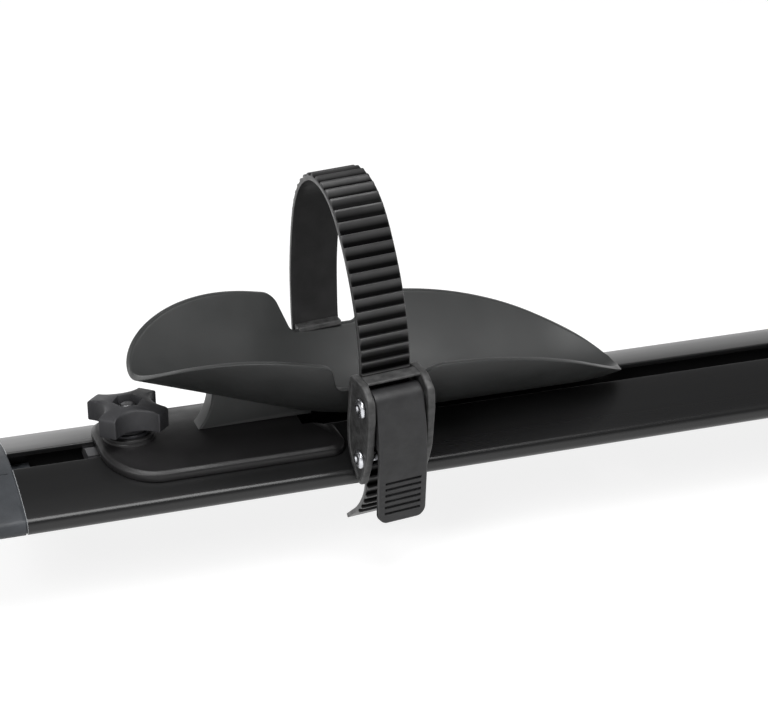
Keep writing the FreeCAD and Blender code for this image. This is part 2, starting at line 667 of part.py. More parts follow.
def knob(node, place, turn):
    """The four-lobed hand knob: its top falls from the hexagon pocket to the lobes' ends."""
    reach, half, waist = size.knob_reach, size.knob_lobe_half, size.knob_waist
    curves = []
    for quarter in range(4):
        spin = Rotation(Vector(0, 0, 1), 90 * quarter)
        end_a, end_b = spin.multVec(Vector(reach, -half, 0)), spin.multVec(Vector(reach, half, 0))
        middle = spin.multVec(Vector(waist * math.sqrt(0.5), waist * math.sqrt(0.5), 0))
        following = spin.multVec(Vector(half, reach, 0))
        curves.append(Part.LineSegment(end_a, end_b))
        curves.append(Part.Arc(end_b, middle, following))
    body = new_body(node)
    pad(body, "XY_Plane", curves, node + "_lobes", "sizes.knob_lobe_height")
    pad(body, "XY_Plane", circle(0, 0, size.knob_collar_radius), node + "_collar",
        "sizes.knob_collar_height", backwards=True)
    bore = size.bolt_radius + size.thread_gap
    pocket(body, "XY_Plane", circle(0, 0, bore), node + "_bore", "60", middle=True)
    flats = size.nut_flats / 2 + size.nut_gap
    point_reach = flats / math.cos(math.pi / 6)
    turns = [math.radians(60 * k + size.nut_turn) for k in range(6)]
    corners = [(point_reach * math.cos(a), point_reach * math.sin(a)) for a in turns]
    low = size.knob_lobe_height - size.nut_sink - size.nut_height
    seat = new_body(node + "_seat")
    pad(seat, "XY_Plane", rounded(corners, 0), node + "_hexagon", "20")
    seat.Placement = Placement(Vector(0, 0, low), Rotation())
    rim = "sizes.nut_flats / 2 + sizes.nut_gap"
    cone = doc.addObject("Part::Cone", node + "_cone")
    cone.setExpression("Radius1", "%s + sizes.knob_lobe_height * (sizes.knob_reach - %s) / sizes.knob_fall"
                       % (rim, rim.replace("+", "-")))
    cone.setExpression("Radius2", rim)
    cone.setExpression("Height", "sizes.knob_lobe_height")
    block = cylinder(node + "_block", "2 * sizes.knob_reach", "sizes.knob_lobe_height + 1", (0, 0, 0))
    over_cone = cut(node + "_over_cone", block, cone)
    hollow = cut(node + "_hollow", body, fuse(node + "_tools", [seat, over_cone]))
    body.Label = node + "_body"
    lift = knob_bottom() + size.knob_collar_height
    spin = Rotation(Vector(0, 0, 1), size.knob_spin)
    keep(node, hollow, place * turn * Placement(Vector(-size.knob_offset, 0, lift), spin))
    corners = [(x * (flats - size.nut_gap) / flats, y * (flats - size.nut_gap) / flats) for x, y in corners]
    nut = new_body(node + "_nut")
    pad(nut, "XY_Plane", rounded(corners, 0), node + "_nut_hexagon", "sizes.nut_height")
    pocket(nut, "XY_Plane", circle(0, 0, bore), node + "_nut_bore", "60", middle=True)
    seat_place = Placement(Vector(-size.knob_offset, 0, lift + low), spin)
    keep(node + "_nut", nut, place * turn * seat_place)


def knob_washer(node, place, turn):
    """The flat washer between the knob and the plate's boss."""
    seat = knob_bottom() - size.washer_thickness
    disc = cylinder(node + "_disc", "sizes.washer_radius", "sizes.washer_thickness",
                    (-size.knob_offset, 0, seat))
    hole = cylinder(node + "_hole", "sizes.bolt_radius + sizes.bolt_clearance", "10",
                    (-size.knob_offset, 0, seat - 3))
    keep(node, cut(node, disc, hole), place * turn)


# Strap hook and buckle, drawn across the rail: sketch X is the row's Y
def hook_profile(side, face, leg, low):
    """A hook over the wall's notch: outer leg, flange over the edge and inner lip."""
    top, lip, reach = size.hook_top, size.hook_lip, size.hook_reach
    points = [(face - leg, low), (face, low), (face, top), (face - reach, top),
              (face - reach - 1.5, lip), (face - leg, lip - 2)]
    return rounded([(side * y, z) for y, z in points], [1, 1, 1.2, 1.2, 0.8, 0])


def clear_of_cradle(node, thing, place, turn, strap_turn):
    """Cuts a piece of the strap set back from the cradle's wall."""
    thing.Placement = strap_turn
    tool = feature(node + "_wall", cradle_clearance)
    tool.Placement = turn
    keep(node, cut(node + "_piece", thing, tool), place)


def strap_hook(node, place, turn, strap_turn):
    """The hook that the strap's fixed end is riveted to."""
    face = strap_at_hook - size.strap_thickness / 2 - size.seat_gap
    hook = new_body(node + "_body")
    pad(hook, "YZ_Plane", hook_profile(1, face, size.hook_thickness, size.hook_bottom), node + "_profile",
        "sizes.hook_width", middle=True)
    spots = []
    for x in (-size.rivet_spacing / 2, size.rivet_spacing / 2):
        spots += circle(x, size.rivet_height, size.rivet_radius)
    pocket(hook, "XZ_Plane", spots, node + "_holes", "140", middle=True)
    clear_of_cradle(node, hook, place, turn, strap_turn)


def strap_rivets(node, place, strap_turn):
    """Two rivets through the strap and its hook, headed on both sides."""
    parts = []
    outer = strap_at_hook + size.strap_thickness / 2
    inner = strap_at_hook - size.strap_thickness / 2 - size.hook_thickness - size.seat_gap
    for k, x in enumerate((-size.rivet_spacing / 2, size.rivet_spacing / 2)):
        spot = (x, inner, size.rivet_height)
        along = Vector(0, 1, 0)
        shank = cylinder(node + "_shank_%d" % k, "sizes.rivet_radius", str(round(outer - inner, 4)), spot,
                         along)
        head = cylinder(node + "_head_%d" % k, "sizes.rivet_head_radius", "sizes.rivet_head_height",
                        (x, outer, size.rivet_height), along)
        tail = cylinder(node + "_tail_%d" % k, "sizes.rivet_head_radius", "1",
                        (x, inner - 1, size.rivet_height), along)
        parts.append(fuse(node + "_%d" % k, [shank, head, tail]))
    both = doc.addObject("Part::Compound", node)
    both.Links = parts
    keep(node, both, place * strap_turn)


# Points (Y, Z) of the buckle's pieces, each list with its corner radii
LEVER_PIN = (-67, 34.5)
HOLD_PIN = (-60.5, 3)
DRIVE_PIN = (-68.6, 19)
CHEEK = [(-42.8, 14), (-48.5, 35), (-53, 48.2), (-69, 47.5), (-77.5, 41), (-76.5, 30), (-70.5, 6),
         (-58, -16.5), (-46.5, -5), (-43.2, 3)]
CHEEK_RADII = [40, 20, 3, 8, 5, 20, 30, 5, 8, 8]
GUIDE = [(-67.5, 46), (-58.5, 45), (-58.5, 47.6), (-67.5, 47.4)]
GUIDE_RADIUS = 0.6
DRIVE_PAWL = [(-72.1, 15.6), (-65, 15.2), (-56, 12.6), (-58.6, 16.5), (-65.2, 22.4), (-72.1, 22.4)]
DRIVE_PAWL_RADII = [2.5, 4, 0.3, 6, 3, 3]
HOLD_PAWL = [(-64.3, -1.2), (-66.4, -9.4), (-68.2, -8.8), (-66, 4), (-61.5, 7), (-56.3, 10), (-57, 3.4),
             (-58.8, -1.2)]
HOLD_PAWL_RADII = [2, 0.6, 0.6, 3, 3, 0.3, 2, 2]
CHEEK_WIDTH = "sizes.lever_width + 2 * sizes.lever_side_gap"
FRAME_WIDTH = "sizes.lever_width + 2 * sizes.lever_side_gap + 2 * sizes.cheek_thickness"


def strap_cut(node, thing):
    """Cuts the rivet holes in a strap."""
    holes = []
    for k, x in enumerate((-size.rivet_spacing / 2, size.rivet_spacing / 2)):
        holes.append(cylinder(node + "_rivet_hole_%d" % k, "sizes.rivet_radius", "20",
                              (x, strap_at_hook - 10, size.rivet_height), Vector(0, 1, 0)))
    return cut(node, thing, fuse(node + "_rivet_holes", holes))


def buckle_frame(node, place, turn, strap_turn):
    """Two cheeks on a back plate that hooks over the cradle's wall."""
    face = -strap_in_buckle - size.strap_thickness / 2 - size.back_plate_gap
    frame = new_body(node + "_body")
    pad(frame, "YZ_Plane", rounded(CHEEK, CHEEK_RADII), node + "_cheeks", FRAME_WIDTH, middle=True)
    pocket(frame, "YZ_Plane", rectangle(-100, -40, 0, 60), node + "_opening", CHEEK_WIDTH, middle=True)
    hook = hook_profile(-1, face, size.back_plate_thickness, size.back_plate_bottom)
    pad(frame, "YZ_Plane", hook, node + "_hook", CHEEK_WIDTH, middle=True)
    pad(frame, "YZ_Plane", rounded(GUIDE, GUIDE_RADIUS), node + "_guide", CHEEK_WIDTH, middle=True)
    for k, spot in enumerate((LEVER_PIN, HOLD_PIN)):
        pocket(frame, "YZ_Plane", circle(*spot, size.pin_radius), node + "_pin_hole_%d" % k, "80",
               middle=True)
    clear_of_cradle(node, frame, place, turn, strap_turn)


def pin(node, spot, place, strap_turn):
    """A headed pin across both cheeks."""
    half = size.lever_width / 2 + size.lever_side_gap + size.cheek_thickness
    along = Vector(1, 0, 0)
    parts = [cylinder(node + "_shank", "sizes.pin_radius", FRAME_WIDTH, (-half, *spot), along)]
    for k, x in enumerate((-half - size.pin_head_height, half)):
        parts.append(cylinder(node + "_head_%d" % k, "sizes.pin_head_radius", "sizes.pin_head_height",
                              (x, *spot), along))
    keep(node, fuse(node, parts), place * strap_turn)


def lever(node, place, strap_turn):
    """The ratchet lever: a hub on the upper pin, a long grip plate and a hollow for its pawl."""
    y, z = LEVER_PIN
    hub, thick, bottom = size.lever_hub_radius, size.lever_thickness, size.lever_bottom
    bulge, bend, foot = (-76.8, 21), (-75.2, 0), (-68.6, bottom)
    body = new_body(node + "_body")
    outline = rounded([(y + hub, z + hub), (y - 7, z + hub - 0.6), bulge, bend, foot,
                       (foot[0] + thick, foot[1]), (bend[0] + thick, bend[1]), (bulge[0] + thick, 12),
                       (y + 2.6, 14), (y + hub, z - hub + 1)], [8.6, 7, 60, 90, 1.6, 1.6, 90, 2, 3, 5])
    pad(body, "YZ_Plane", outline, node + "_plate", "sizes.lever_width", middle=True)
    inner = bulge[0] + thick
    hollow = rectangle(inner, 3, -40, z - hub - 0.8)
    pocket(body, "YZ_Plane", hollow, node + "_pawl_hollow", "sizes.pawl_width + 2 * sizes.pawl_side_gap",
           middle=True)
    bore = size.pin_radius + size.pin_fit
    pocket(body, "YZ_Plane", circle(*LEVER_PIN, bore), node + "_bore", "80", middle=True)
    pocket(body, "YZ_Plane", circle(*DRIVE_PIN, size.pawl_pin_radius), node + "_pawl_bore", "80",
           middle=True)
    half, corner = size.lever_width / 2, size.lever_corner
    curves = []
    for side in (-1, 1):
        arc_middle = Vector(side * (half - corner * (1 - math.sqrt(0.5))),
                            bottom + corner * (1 - math.sqrt(0.5)), 0)
        stops = [Vector(side * (half - corner), bottom, 0), Vector(side * (half - corner), bottom - 5, 0),
                 Vector(side * (half + 5), bottom - 5, 0), Vector(side * (half + 5), bottom + corner, 0),
                 Vector(side * half, bottom + corner, 0)]
        curves += [Part.LineSegment(a, b) for a, b in zip(stops[:-1], stops[1:])]
        curves.append(Part.Arc(stops[-1], arc_middle, stops[0]))
    pocket(body, "XZ_Plane", curves, node + "_corners", "240", middle=True)
    run = Vector(0, bend[0] - foot[0], bend[1] - foot[1]).normalize()
    slope = Rotation(Vector(0, 0, 1), run)
    inward = slope.multVec(Vector(0, 1, 0))
    slots = []
    for k in range(int(size.grip_slots)):
        spot = Vector(-half + size.grip_margin, *foot) + run * (size.grip_start + k * size.grip_pitch)
        slots.append(box(node + "_slot_%d" % k, (0, 0, 0),
                         ("sizes.lever_width - 2 * sizes.grip_margin", "sizes.grip_slot_depth + 1",
                          "sizes.grip_slot_width"), Placement(spot - inward, slope)))
    keep(node, cut(node, body, fuse(node + "_slots", slots)), place * strap_turn)


def pawl(node, spot, outline, radii, hole, place, strap_turn):
    """A pawl that turns on a pin, with a gap in its middle for its spring."""
    body = new_body(node)
    pad(body, "YZ_Plane", rounded(outline, radii), node + "_arm", "sizes.pawl_width", middle=True)
    pocket(body, "YZ_Plane", circle(*spot, hole), node + "_bore", "80", middle=True)
    reach = hole + size.spring_wire + 2 * size.spring_gap
    slot = rectangle(spot[0] - reach, spot[1] - reach, spot[0] + reach, spot[1] + reach)
    pocket(body, "YZ_Plane", slot, node + "_spring_gap", "sizes.spring_width + 2 * sizes.spring_gap",
           middle=True)
    keep(node, body, place * strap_turn)


def spring(node, spot, core, place, strap_turn):
    """A closed sleeve that stands for a small torsion spring on its pin."""
    half = size.spring_width / 2
    along = Vector(1, 0, 0)
    outside = cylinder(node + "_outside", core + " + sizes.spring_gap / 2 + sizes.spring_wire",
                       "sizes.spring_width", (-half, *spot), along)
    inside = cylinder(node + "_inside", core + " + sizes.spring_gap / 2", "20", (-10, *spot), along)
    keep(node, cut(node, outside, inside), place * strap_turn)


def holder(side_name, side):
    """One complete wheel holder with its clamp, strap and ratchet buckle."""
    place = Placement(Vector(side * holder_reach, 0, height), Rotation())
    turn = Placement(Vector(0, 0, 0), Rotation(Vector(0, 0, 1), 0 if side < 0 else 180))
    tilt = Rotation(Vector(0, 0, 1), size.strap_turn) * Rotation(Vector(0, 1, 0), -size.strap_lean)
    pivot = Vector(0, 0, size.strap_pivot)
    strap_turn = Placement(pivot, tilt) * Placement(pivot * -1, Rotation())

    def name(piece):
        return side_name + "_" + piece

    keep(name("cradle"), feature(name("cradle"), cradle), place * turn)
    base_plate(name("base_plate"), place, turn)
    screws(name("cradle_screws"), place, turn)
    bar_low = slide_bar(name("slide_bar"), place, turn)
    clamp_bolt(name("clamp_bolt"), place, turn, bar_low)
    knob_washer(name("knob_washer"), place, turn)
    knob(name("knob"), place, turn)
    band = feature(name("strap_band"), strap)
    keep(name("strap"), strap_cut(name("strap"), band), place * strap_turn)
    strap_hook(name("strap_hook"), place, turn, strap_turn)
    strap_rivets(name("strap_rivets"), place, strap_turn)
    buckle_frame(name("buckle_frame"), place, turn, strap_turn)
    pin(name("lever_pin"), LEVER_PIN, place, strap_turn)
    pin(name("hold_pawl_pin"), HOLD_PIN, place, strap_turn)
    lever(name("lever"), place, strap_turn)
    pawl(name("drive_pawl"), DRIVE_PIN, DRIVE_PAWL, DRIVE_PAWL_RADII, size.pawl_pin_radius + size.pin_fit,
         place, strap_turn)
    long_pin = cylinder(name("drive_pawl_pin"), "sizes.pawl_pin_radius", "sizes.lever_width",
                        (-size.lever_width / 2, *DRIVE_PIN), Vector(1, 0, 0))
    keep(name("drive_pawl_pin"), long_pin, place * strap_turn * long_pin.Placement)
    pawl(name("hold_pawl"), HOLD_PIN, HOLD_PAWL, HOLD_PAWL_RADII, size.pin_radius + size.pin_fit,
         place, strap_turn)
    spring(name("drive_pawl_spring"), DRIVE_PIN, "sizes.pawl_pin_radius", place, strap_turn)
    spring(name("hold_pawl_spring"), HOLD_PIN, "sizes.pin_radius", place, strap_turn)


holder("left", -1)
holder("right", 1)


# Checks and files
doc.recompute()
for thing in doc.Objects:
    if "Invalid" in thing.State or "Error" in thing.State:
        raise RuntimeError("%s failed: %s" % (thing.Label, thing.State))
for node, thing in nodes.items():
    if thing.Shape.isNull() or not thing.Shape.isValid() or thing.Shape.Volume <= 0:
        raise RuntimeError(node + " has no good shape")
os.makedirs("parts", exist_ok=True)
for node, thing in sorted(nodes.items()):
    thing.Shape.exportStep(os.path.join("parts", node + ".step"))
    print("%-26s solids %d volume %9.1f mm3" % (node, len(thing.Shape.Solids), thing.Shape.Volume))
print(len(nodes), "nodes")
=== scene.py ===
# %% [markdown]
# A roof bike carrier: one slotted aluminium rail with two wheel holders. This lesson dresses the
# measured CAD model. Every new piece is worked out as a surface with numpy, because a surface with a
# formula can round an edge or raise a tooth where a plain solid has a hard corner.

# %% Load the measured model
import math
import bmesh
import bpy
import numpy as np
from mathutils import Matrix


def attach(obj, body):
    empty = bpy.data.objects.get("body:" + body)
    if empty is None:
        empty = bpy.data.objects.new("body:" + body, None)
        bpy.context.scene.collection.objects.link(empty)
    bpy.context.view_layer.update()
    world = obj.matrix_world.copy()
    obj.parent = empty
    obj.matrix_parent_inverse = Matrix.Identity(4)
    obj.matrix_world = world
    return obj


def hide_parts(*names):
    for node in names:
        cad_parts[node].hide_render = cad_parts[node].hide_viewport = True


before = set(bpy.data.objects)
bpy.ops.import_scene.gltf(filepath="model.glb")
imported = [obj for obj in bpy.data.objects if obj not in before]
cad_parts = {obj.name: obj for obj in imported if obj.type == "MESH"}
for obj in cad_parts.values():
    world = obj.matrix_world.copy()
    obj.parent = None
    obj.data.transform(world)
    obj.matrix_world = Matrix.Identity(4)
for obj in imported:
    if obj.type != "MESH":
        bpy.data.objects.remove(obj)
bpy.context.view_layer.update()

# %% [markdown]
# Both holders are the same set of pieces. Each is drawn once in millimetres about the middle of its
# strap, on top of the rail. The cradle, plate and knob of the right holder are turned half round, so
# the two cradles face each other. The strap sets are only shifted, so both buckles face the same side,
# and they stand three degrees askew and leaning, as in the photograph.

# %% Places
REACH, CROWN, PIVOT = 517.0, 19.0, 38.0
SIDES = {"left": -1, "right": 1}
SKEW = LEAN = math.radians(3)
turn_z = np.array([[math.cos(SKEW), -math.sin(SKEW), 0], [math.sin(SKEW), math.cos(SKEW), 0], [0, 0, 1]])
turn_y = np.array([[math.cos(LEAN), 0, -math.sin(LEAN)], [0, 1, 0], [math.sin(LEAN), 0, math.cos(LEAN)]])
ASKEW = turn_z @ turn_y


def on_rail(points, side):
    """Half a turn for the right holder, then along the rail and up to its crown."""
    flip = -SIDES[side]
    return points * (flip, flip, 1) + (SIDES[side] * REACH, 0, CROWN)


def on_strap(points, side):
    """The strap set's small turn and lean about the pivot, then along the rail and up."""
    return (points - (0, 0, PIVOT)) @ ASKEW.T + (SIDES[side] * REACH, 0, PIVOT + CROWN)


def as_is(points, side):
    """Rail pieces are drawn where they are."""
    return points


print("holders stand", 2 * REACH, "mm apart")

# %% [markdown]
# A surface is a grid of points: each row is one closed loop. Neighbouring rows are joined by quads. The
# first and last loop get a face each, unless the rows run round in a ring or the end loops fold flat.

# %% Grids to meshes
MERGE, SLIVER = 4e-6, 1e-6


def skin(grid, ring=False, ends=True):
    """Quads between the rows of a grid of closed loops, with end faces unless the rows form a ring."""
    rows, cols = grid.shape[:2]
    i, j = np.meshgrid(np.arange(rows if ring else rows - 1), np.arange(cols), indexing="ij")
    nxt, right = (i + 1) % rows, (j + 1) % cols
    quads = np.stack([i * cols + j, i * cols + right, nxt * cols + right, nxt * cols + j], -1)
    faces = quads.reshape(-1, 4).tolist()
    if ends and not ring:
        faces += [list(range(cols))[::-1], list(range((rows - 1) * cols, rows * cols))]
    return grid.reshape(-1, 3), faces


def closed_mesh(name, points, faces, raised=None):
    """Mesh in metres from points in millimetres, doubles merged and faces turned outwards. The values
    in raised, one for every point, are kept on the mesh for its material."""
    mesh = bpy.data.meshes.new(name)
    mesh.from_pydata(points / 1000, [], faces)
    if raised is not None:
        mesh.attributes.new("raised", "FLOAT", "POINT").data.foreach_set("value", raised.ravel())
    work = bmesh.new()
    work.from_mesh(mesh)
    bmesh.ops.remove_doubles(work, verts=work.verts, dist=MERGE)
    bmesh.ops.dissolve_degenerate(work, edges=work.edges, dist=SLIVER)
    bmesh.ops.recalc_face_normals(work, faces=work.faces)
    work.to_mesh(mesh)
    work.free()
    return mesh


def piece(name, parts, place, side, body, node, slot, sharp=38, paint=None, raised=None):
    """Joins the parts into one smooth object in its place, which rides on a body for a CAD node. Its
    finish is the one named like its slot, unless another is given."""
    points, faces, start = [], [], 0
    for part_points, part_faces in parts:
        points.append(place(part_points, side))
        faces += [[k + start for k in face] for face in part_faces]
        start += len(part_points)
    mesh = closed_mesh(name, np.concatenate(points), faces, raised)
    mesh.polygons.foreach_set("use_smooth", np.ones(len(mesh.polygons), bool))
    mesh.set_sharp_from_angle(angle=math.radians(sharp))
    thing = bpy.data.objects.new(name, mesh)
    bpy.context.scene.collection.objects.link(thing)
    mesh.materials.append(PAINT[paint or slot])
    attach(thing, body)
    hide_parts(node)
    return thing


def carve(thing, parts, place, side):
    """Takes closed cutters out of a piece with an exact boolean."""
    for cutter_points, cutter_faces in parts:
        mesh = closed_mesh("cutter", place(cutter_points, side), cutter_faces)
        cutter = bpy.data.objects.new("cutter", mesh)
        bpy.context.scene.collection.objects.link(cutter)
        step = thing.modifiers.new("cut", "BOOLEAN")
        step.operation, step.object, step.solver = "DIFFERENCE", cutter, "EXACT"
        with bpy.context.temp_override(object=thing, active_object=thing):
            bpy.ops.object.modifier_apply(modifier=step.name)
        bpy.data.objects.remove(cutter)
    thing.data.set_sharp_from_angle(angle=math.radians(38))


print("doubles closer than", MERGE * 1000, "mm are merged")

# %% [markdown]
# Most moulded and stamped pieces are a flat outline with some thickness. Real ones never have razor
# edges, so the outline is pulled in a little at both faces along a quarter circle. That small round is
# what catches the light along every edge in the photograph.

# %% Outlines and rounded slabs
def rounded(corners, radii, fine=9):
    """Polygon corners replaced by arcs: each arc starts radius / tan(half angle) before its corner."""
    corners = np.asarray(corners, float)
    out = []
    for k, corner in enumerate(corners):
        radius = radii[k] if np.ndim(radii) else radii
        before, after = corners[k - 1] - corner, corners[(k + 1) % len(corners)] - corner
        before, after = before / np.linalg.norm(before), after / np.linalg.norm(after)
        half = math.acos(np.clip(before @ after, -1, 1)) / 2
        if radius == 0 or half > 1.56:
            out.append(corner[None])
            continue
        middle = (before + after) / np.linalg.norm(before + after)
        centre = corner + middle * radius / math.sin(half)
        first = corner + before * radius / math.tan(half) - centre
        last = corner + after * radius / math.tan(half) - centre
        a, b = math.atan2(first[1], first[0]), math.atan2(last[1], last[0])
        sweep = (b - a + math.pi) % (2 * math.pi) - math.pi
        angles = a + sweep * np.linspace(0, 1, fine)
        out.append(centre + radius * np.stack([np.cos(angles), np.sin(angles)], 1))
    return np.concatenate(out)


def inward(outline):
    """Unit vectors square to the outline, pointing into it."""
    ahead = np.roll(outline, -1, 0) - outline
    behind = outline - np.roll(outline, 1, 0)
    along = ahead / (np.linalg.norm(ahead, axis=1, keepdims=True) + 1e-12)
    along = along + behind / (np.linalg.norm(behind, axis=1, keepdims=True) + 1e-12)
    along /= np.linalg.norm(along, axis=1, keepdims=True) + 1e-12
    area = np.sum(outline[:, 0] * np.roll(outline[:, 1], -1) - outline[:, 1] * np.roll(outline[:, 0], -1))
    return np.stack([-along[:, 1], along[:, 0]], 1) * (1 if area > 0 else -1)


def slab(outline, low, high, edge, axes="xyz", panel=None):
    """Outline carried from low to high; near both faces it is drawn in by e - sqrt(e² - (e - h)²).
    A panel (inset, depth) lowers the middle of the high face inside a rim."""
    angles = np.radians([0, 22.5, 45, 67.5, 90])
    draw, rise = edge * (1 - np.cos(angles)), edge * np.sin(angles)
    inset = np.concatenate([[edge + 0.25], draw[::-1], draw, [edge + 0.25]])
    level = np.concatenate([[low], low + edge - rise[::-1], high - edge + rise, [high]])
    if panel:
        inset = np.concatenate([inset[:-1], [panel[0], panel[0] + 0.35, panel[0] + 0.7, panel[0] + 1.0]])
        level = np.concatenate([level[:-1], [high, high - panel[1] * 0.8, high - panel[1],
                                             high - panel[1]]])
    pulled = outline[None] + inward(outline)[None] * inset[:, None, None]
    grid = np.concatenate([pulled, np.broadcast_to(level[:, None, None], pulled.shape[:2] + (1,))], 2)
    order = {"xyz": (0, 1, 2), "xzy": (0, 2, 1), "yzx": (2, 0, 1)}[axes]
    return skin(grid[:, :, order])


def lathe(profile, centre, axis="z", ring=False, count=56, start=0.03):
    """Profile of (radius, height) turned about an axis through the centre. The small start angle keeps
    the corners of a round cutter off the edges of what it cuts."""
    profile = np.asarray(profile, float)
    angle = start + np.linspace(0, 2 * math.pi, count, endpoint=False)
    across = profile[:, 0, None] * np.cos(angle), profile[:, 0, None] * np.sin(angle)
    along = np.broadcast_to(profile[:, 1, None], across[0].shape)
    if axis == "z":
        grid = np.stack([across[0], across[1], along], -1)
    elif axis == "x":
        grid = np.stack([along, across[0], across[1]], -1)
    else:
        grid = np.stack([across[1], along, across[0]], -1)
    return skin(grid + np.asarray(centre, float), ring)


print("a 10 mm square slab has", len(slab(rounded([(0, 0), (10, 0), (10, 10), (0, 10)], 2), 0, 4, 1)[0]),
      "points")

# %% [markdown]
# Finishes come next. Moulded plastic isn't one colour: it is mottled in the mould, has a fine grain
# that breaks up its highlights, and gets paler where edges rub. One function makes all of them from
# noise on object coordinates, so the pattern stays on the piece however it moves.

# %% Finishes
# The second colour is the near black of the painted shade in the strap's grooves.
BARE_METAL, PAINTED_GROOVE_SHADE = (0.4, 0.41, 0.42, 1), (0.0008, 0.0008, 0.0008, 1)


def finish(name, colour, metal=0.0, rough=0.5, mottle=0.2, patch=60.0, grain=0.06, fine=1400.0,
           stretch=(1, 1, 1), wear=0.0, specular=0.5, uneven=0.08, sawn=0.0, groove_shade_share=0.0):
    """Base colour varies by noise, roughness by a second noise, and a fine noise makes the bump.
    Past the distance sawn from the middle, in metres, the colour is that of bare metal. Where the
    mesh's value raised is 0, painted shade darkens the colour by the last argument's share and dims
    the specular level."""
    paint = bpy.data.materials.new(name)
    paint.use_nodes = True
    nodes, links = paint.node_tree.nodes, paint.node_tree.links
    shader = nodes["Principled BSDF"]
    shader.inputs["Metallic"].default_value = metal
    shader.inputs["Specular IOR Level"].default_value = specular
    where = nodes.new("ShaderNodeTexCoord")
    spread = nodes.new("ShaderNodeMapping")
    spread.inputs["Scale"].default_value = stretch
    links.new(where.outputs["Object"], spread.inputs["Vector"])

    def noise(scale, detail):
        made = nodes.new("ShaderNodeTexNoise")
        made.inputs["Scale"].default_value = scale
        made.inputs["Detail"].default_value = detail
        links.new(spread.outputs["Vector"], made.inputs["Vector"])
        return made.outputs["Fac"]

    def carried(value, low, high, start=0.0, end=1.0):
        """The value's way from start to end becomes one from low to high."""
        made = nodes.new("ShaderNodeMapRange")
        for name, number in (("From Min", start), ("From Max", end), ("To Min", low), ("To Max", high)):
            made.inputs[name].default_value = number
        links.new(value, made.inputs["Value"])
        return made.outputs["Result"]

    def blend(share, one, other):
        """From one colour to the fixed other by the share."""
        made = nodes.new("ShaderNodeMix")
        made.data_type = "RGBA"
        made.inputs["B"].default_value = other
        links.new(share, made.inputs["Factor"])
        links.new(one, made.inputs["A"])
        return made.outputs["Result"]

    tones = nodes.new("ShaderNodeValToRGB")
    for stop, at, tone in zip(tones.color_ramp.elements, (0.3, 0.7), (1 - mottle, 1 + mottle)):
        stop.position, stop.color = at, [min(1, c * tone) for c in colour] + [1]
    links.new(noise(patch, 4), tones.inputs["Fac"])
    top = tones.outputs["Color"]
    if wear:
        shape = nodes.new("ShaderNodeNewGeometry")
        rubbed = carried(shape.outputs["Pointiness"], 0, wear, 0.52, 0.62)
        top = blend(rubbed, top, [min(1, c * 2.2 + 0.02) for c in colour] + [1])
    # Painted shade: a near black colour and a low specular level where raised is 0, in the strap's grooves.
    if groove_shade_share:
        relief = nodes.new("ShaderNodeAttribute")
        relief.attribute_name = "raised"
        top = blend(carried(relief.outputs["Fac"], groove_shade_share, 0), top, PAINTED_GROOVE_SHADE)
        links.new(carried(relief.outputs["Fac"], 0.04, specular), shader.inputs["Specular IOR Level"])
    if sawn:
        split = nodes.new("ShaderNodeSeparateXYZ")
        links.new(where.outputs["Object"], split.inputs["Vector"])
        size = nodes.new("ShaderNodeMath")
        size.operation = "ABSOLUTE"
        links.new(split.outputs["X"], size.inputs[0])
        past = nodes.new("ShaderNodeMath")
        past.operation, past.inputs[1].default_value = "GREATER_THAN", sawn
        links.new(size.outputs["Value"], past.inputs[0])
        top = blend(past.outputs["Value"], top, BARE_METAL)
    links.new(top, shader.inputs["Base Color"])
    dull = carried(noise(patch * 2.3, 6), rough - uneven, rough + uneven, 0.3, 0.7)
    links.new(dull, shader.inputs["Roughness"])
    bump = nodes.new("ShaderNodeBump")
    bump.inputs["Strength"].default_value = grain
    bump.inputs["Distance"].default_value = 0.0004
    links.new(noise(fine, 3), bump.inputs["Height"])
    links.new(bump.outputs["Normal"], shader.inputs["Normal"])
    return paint


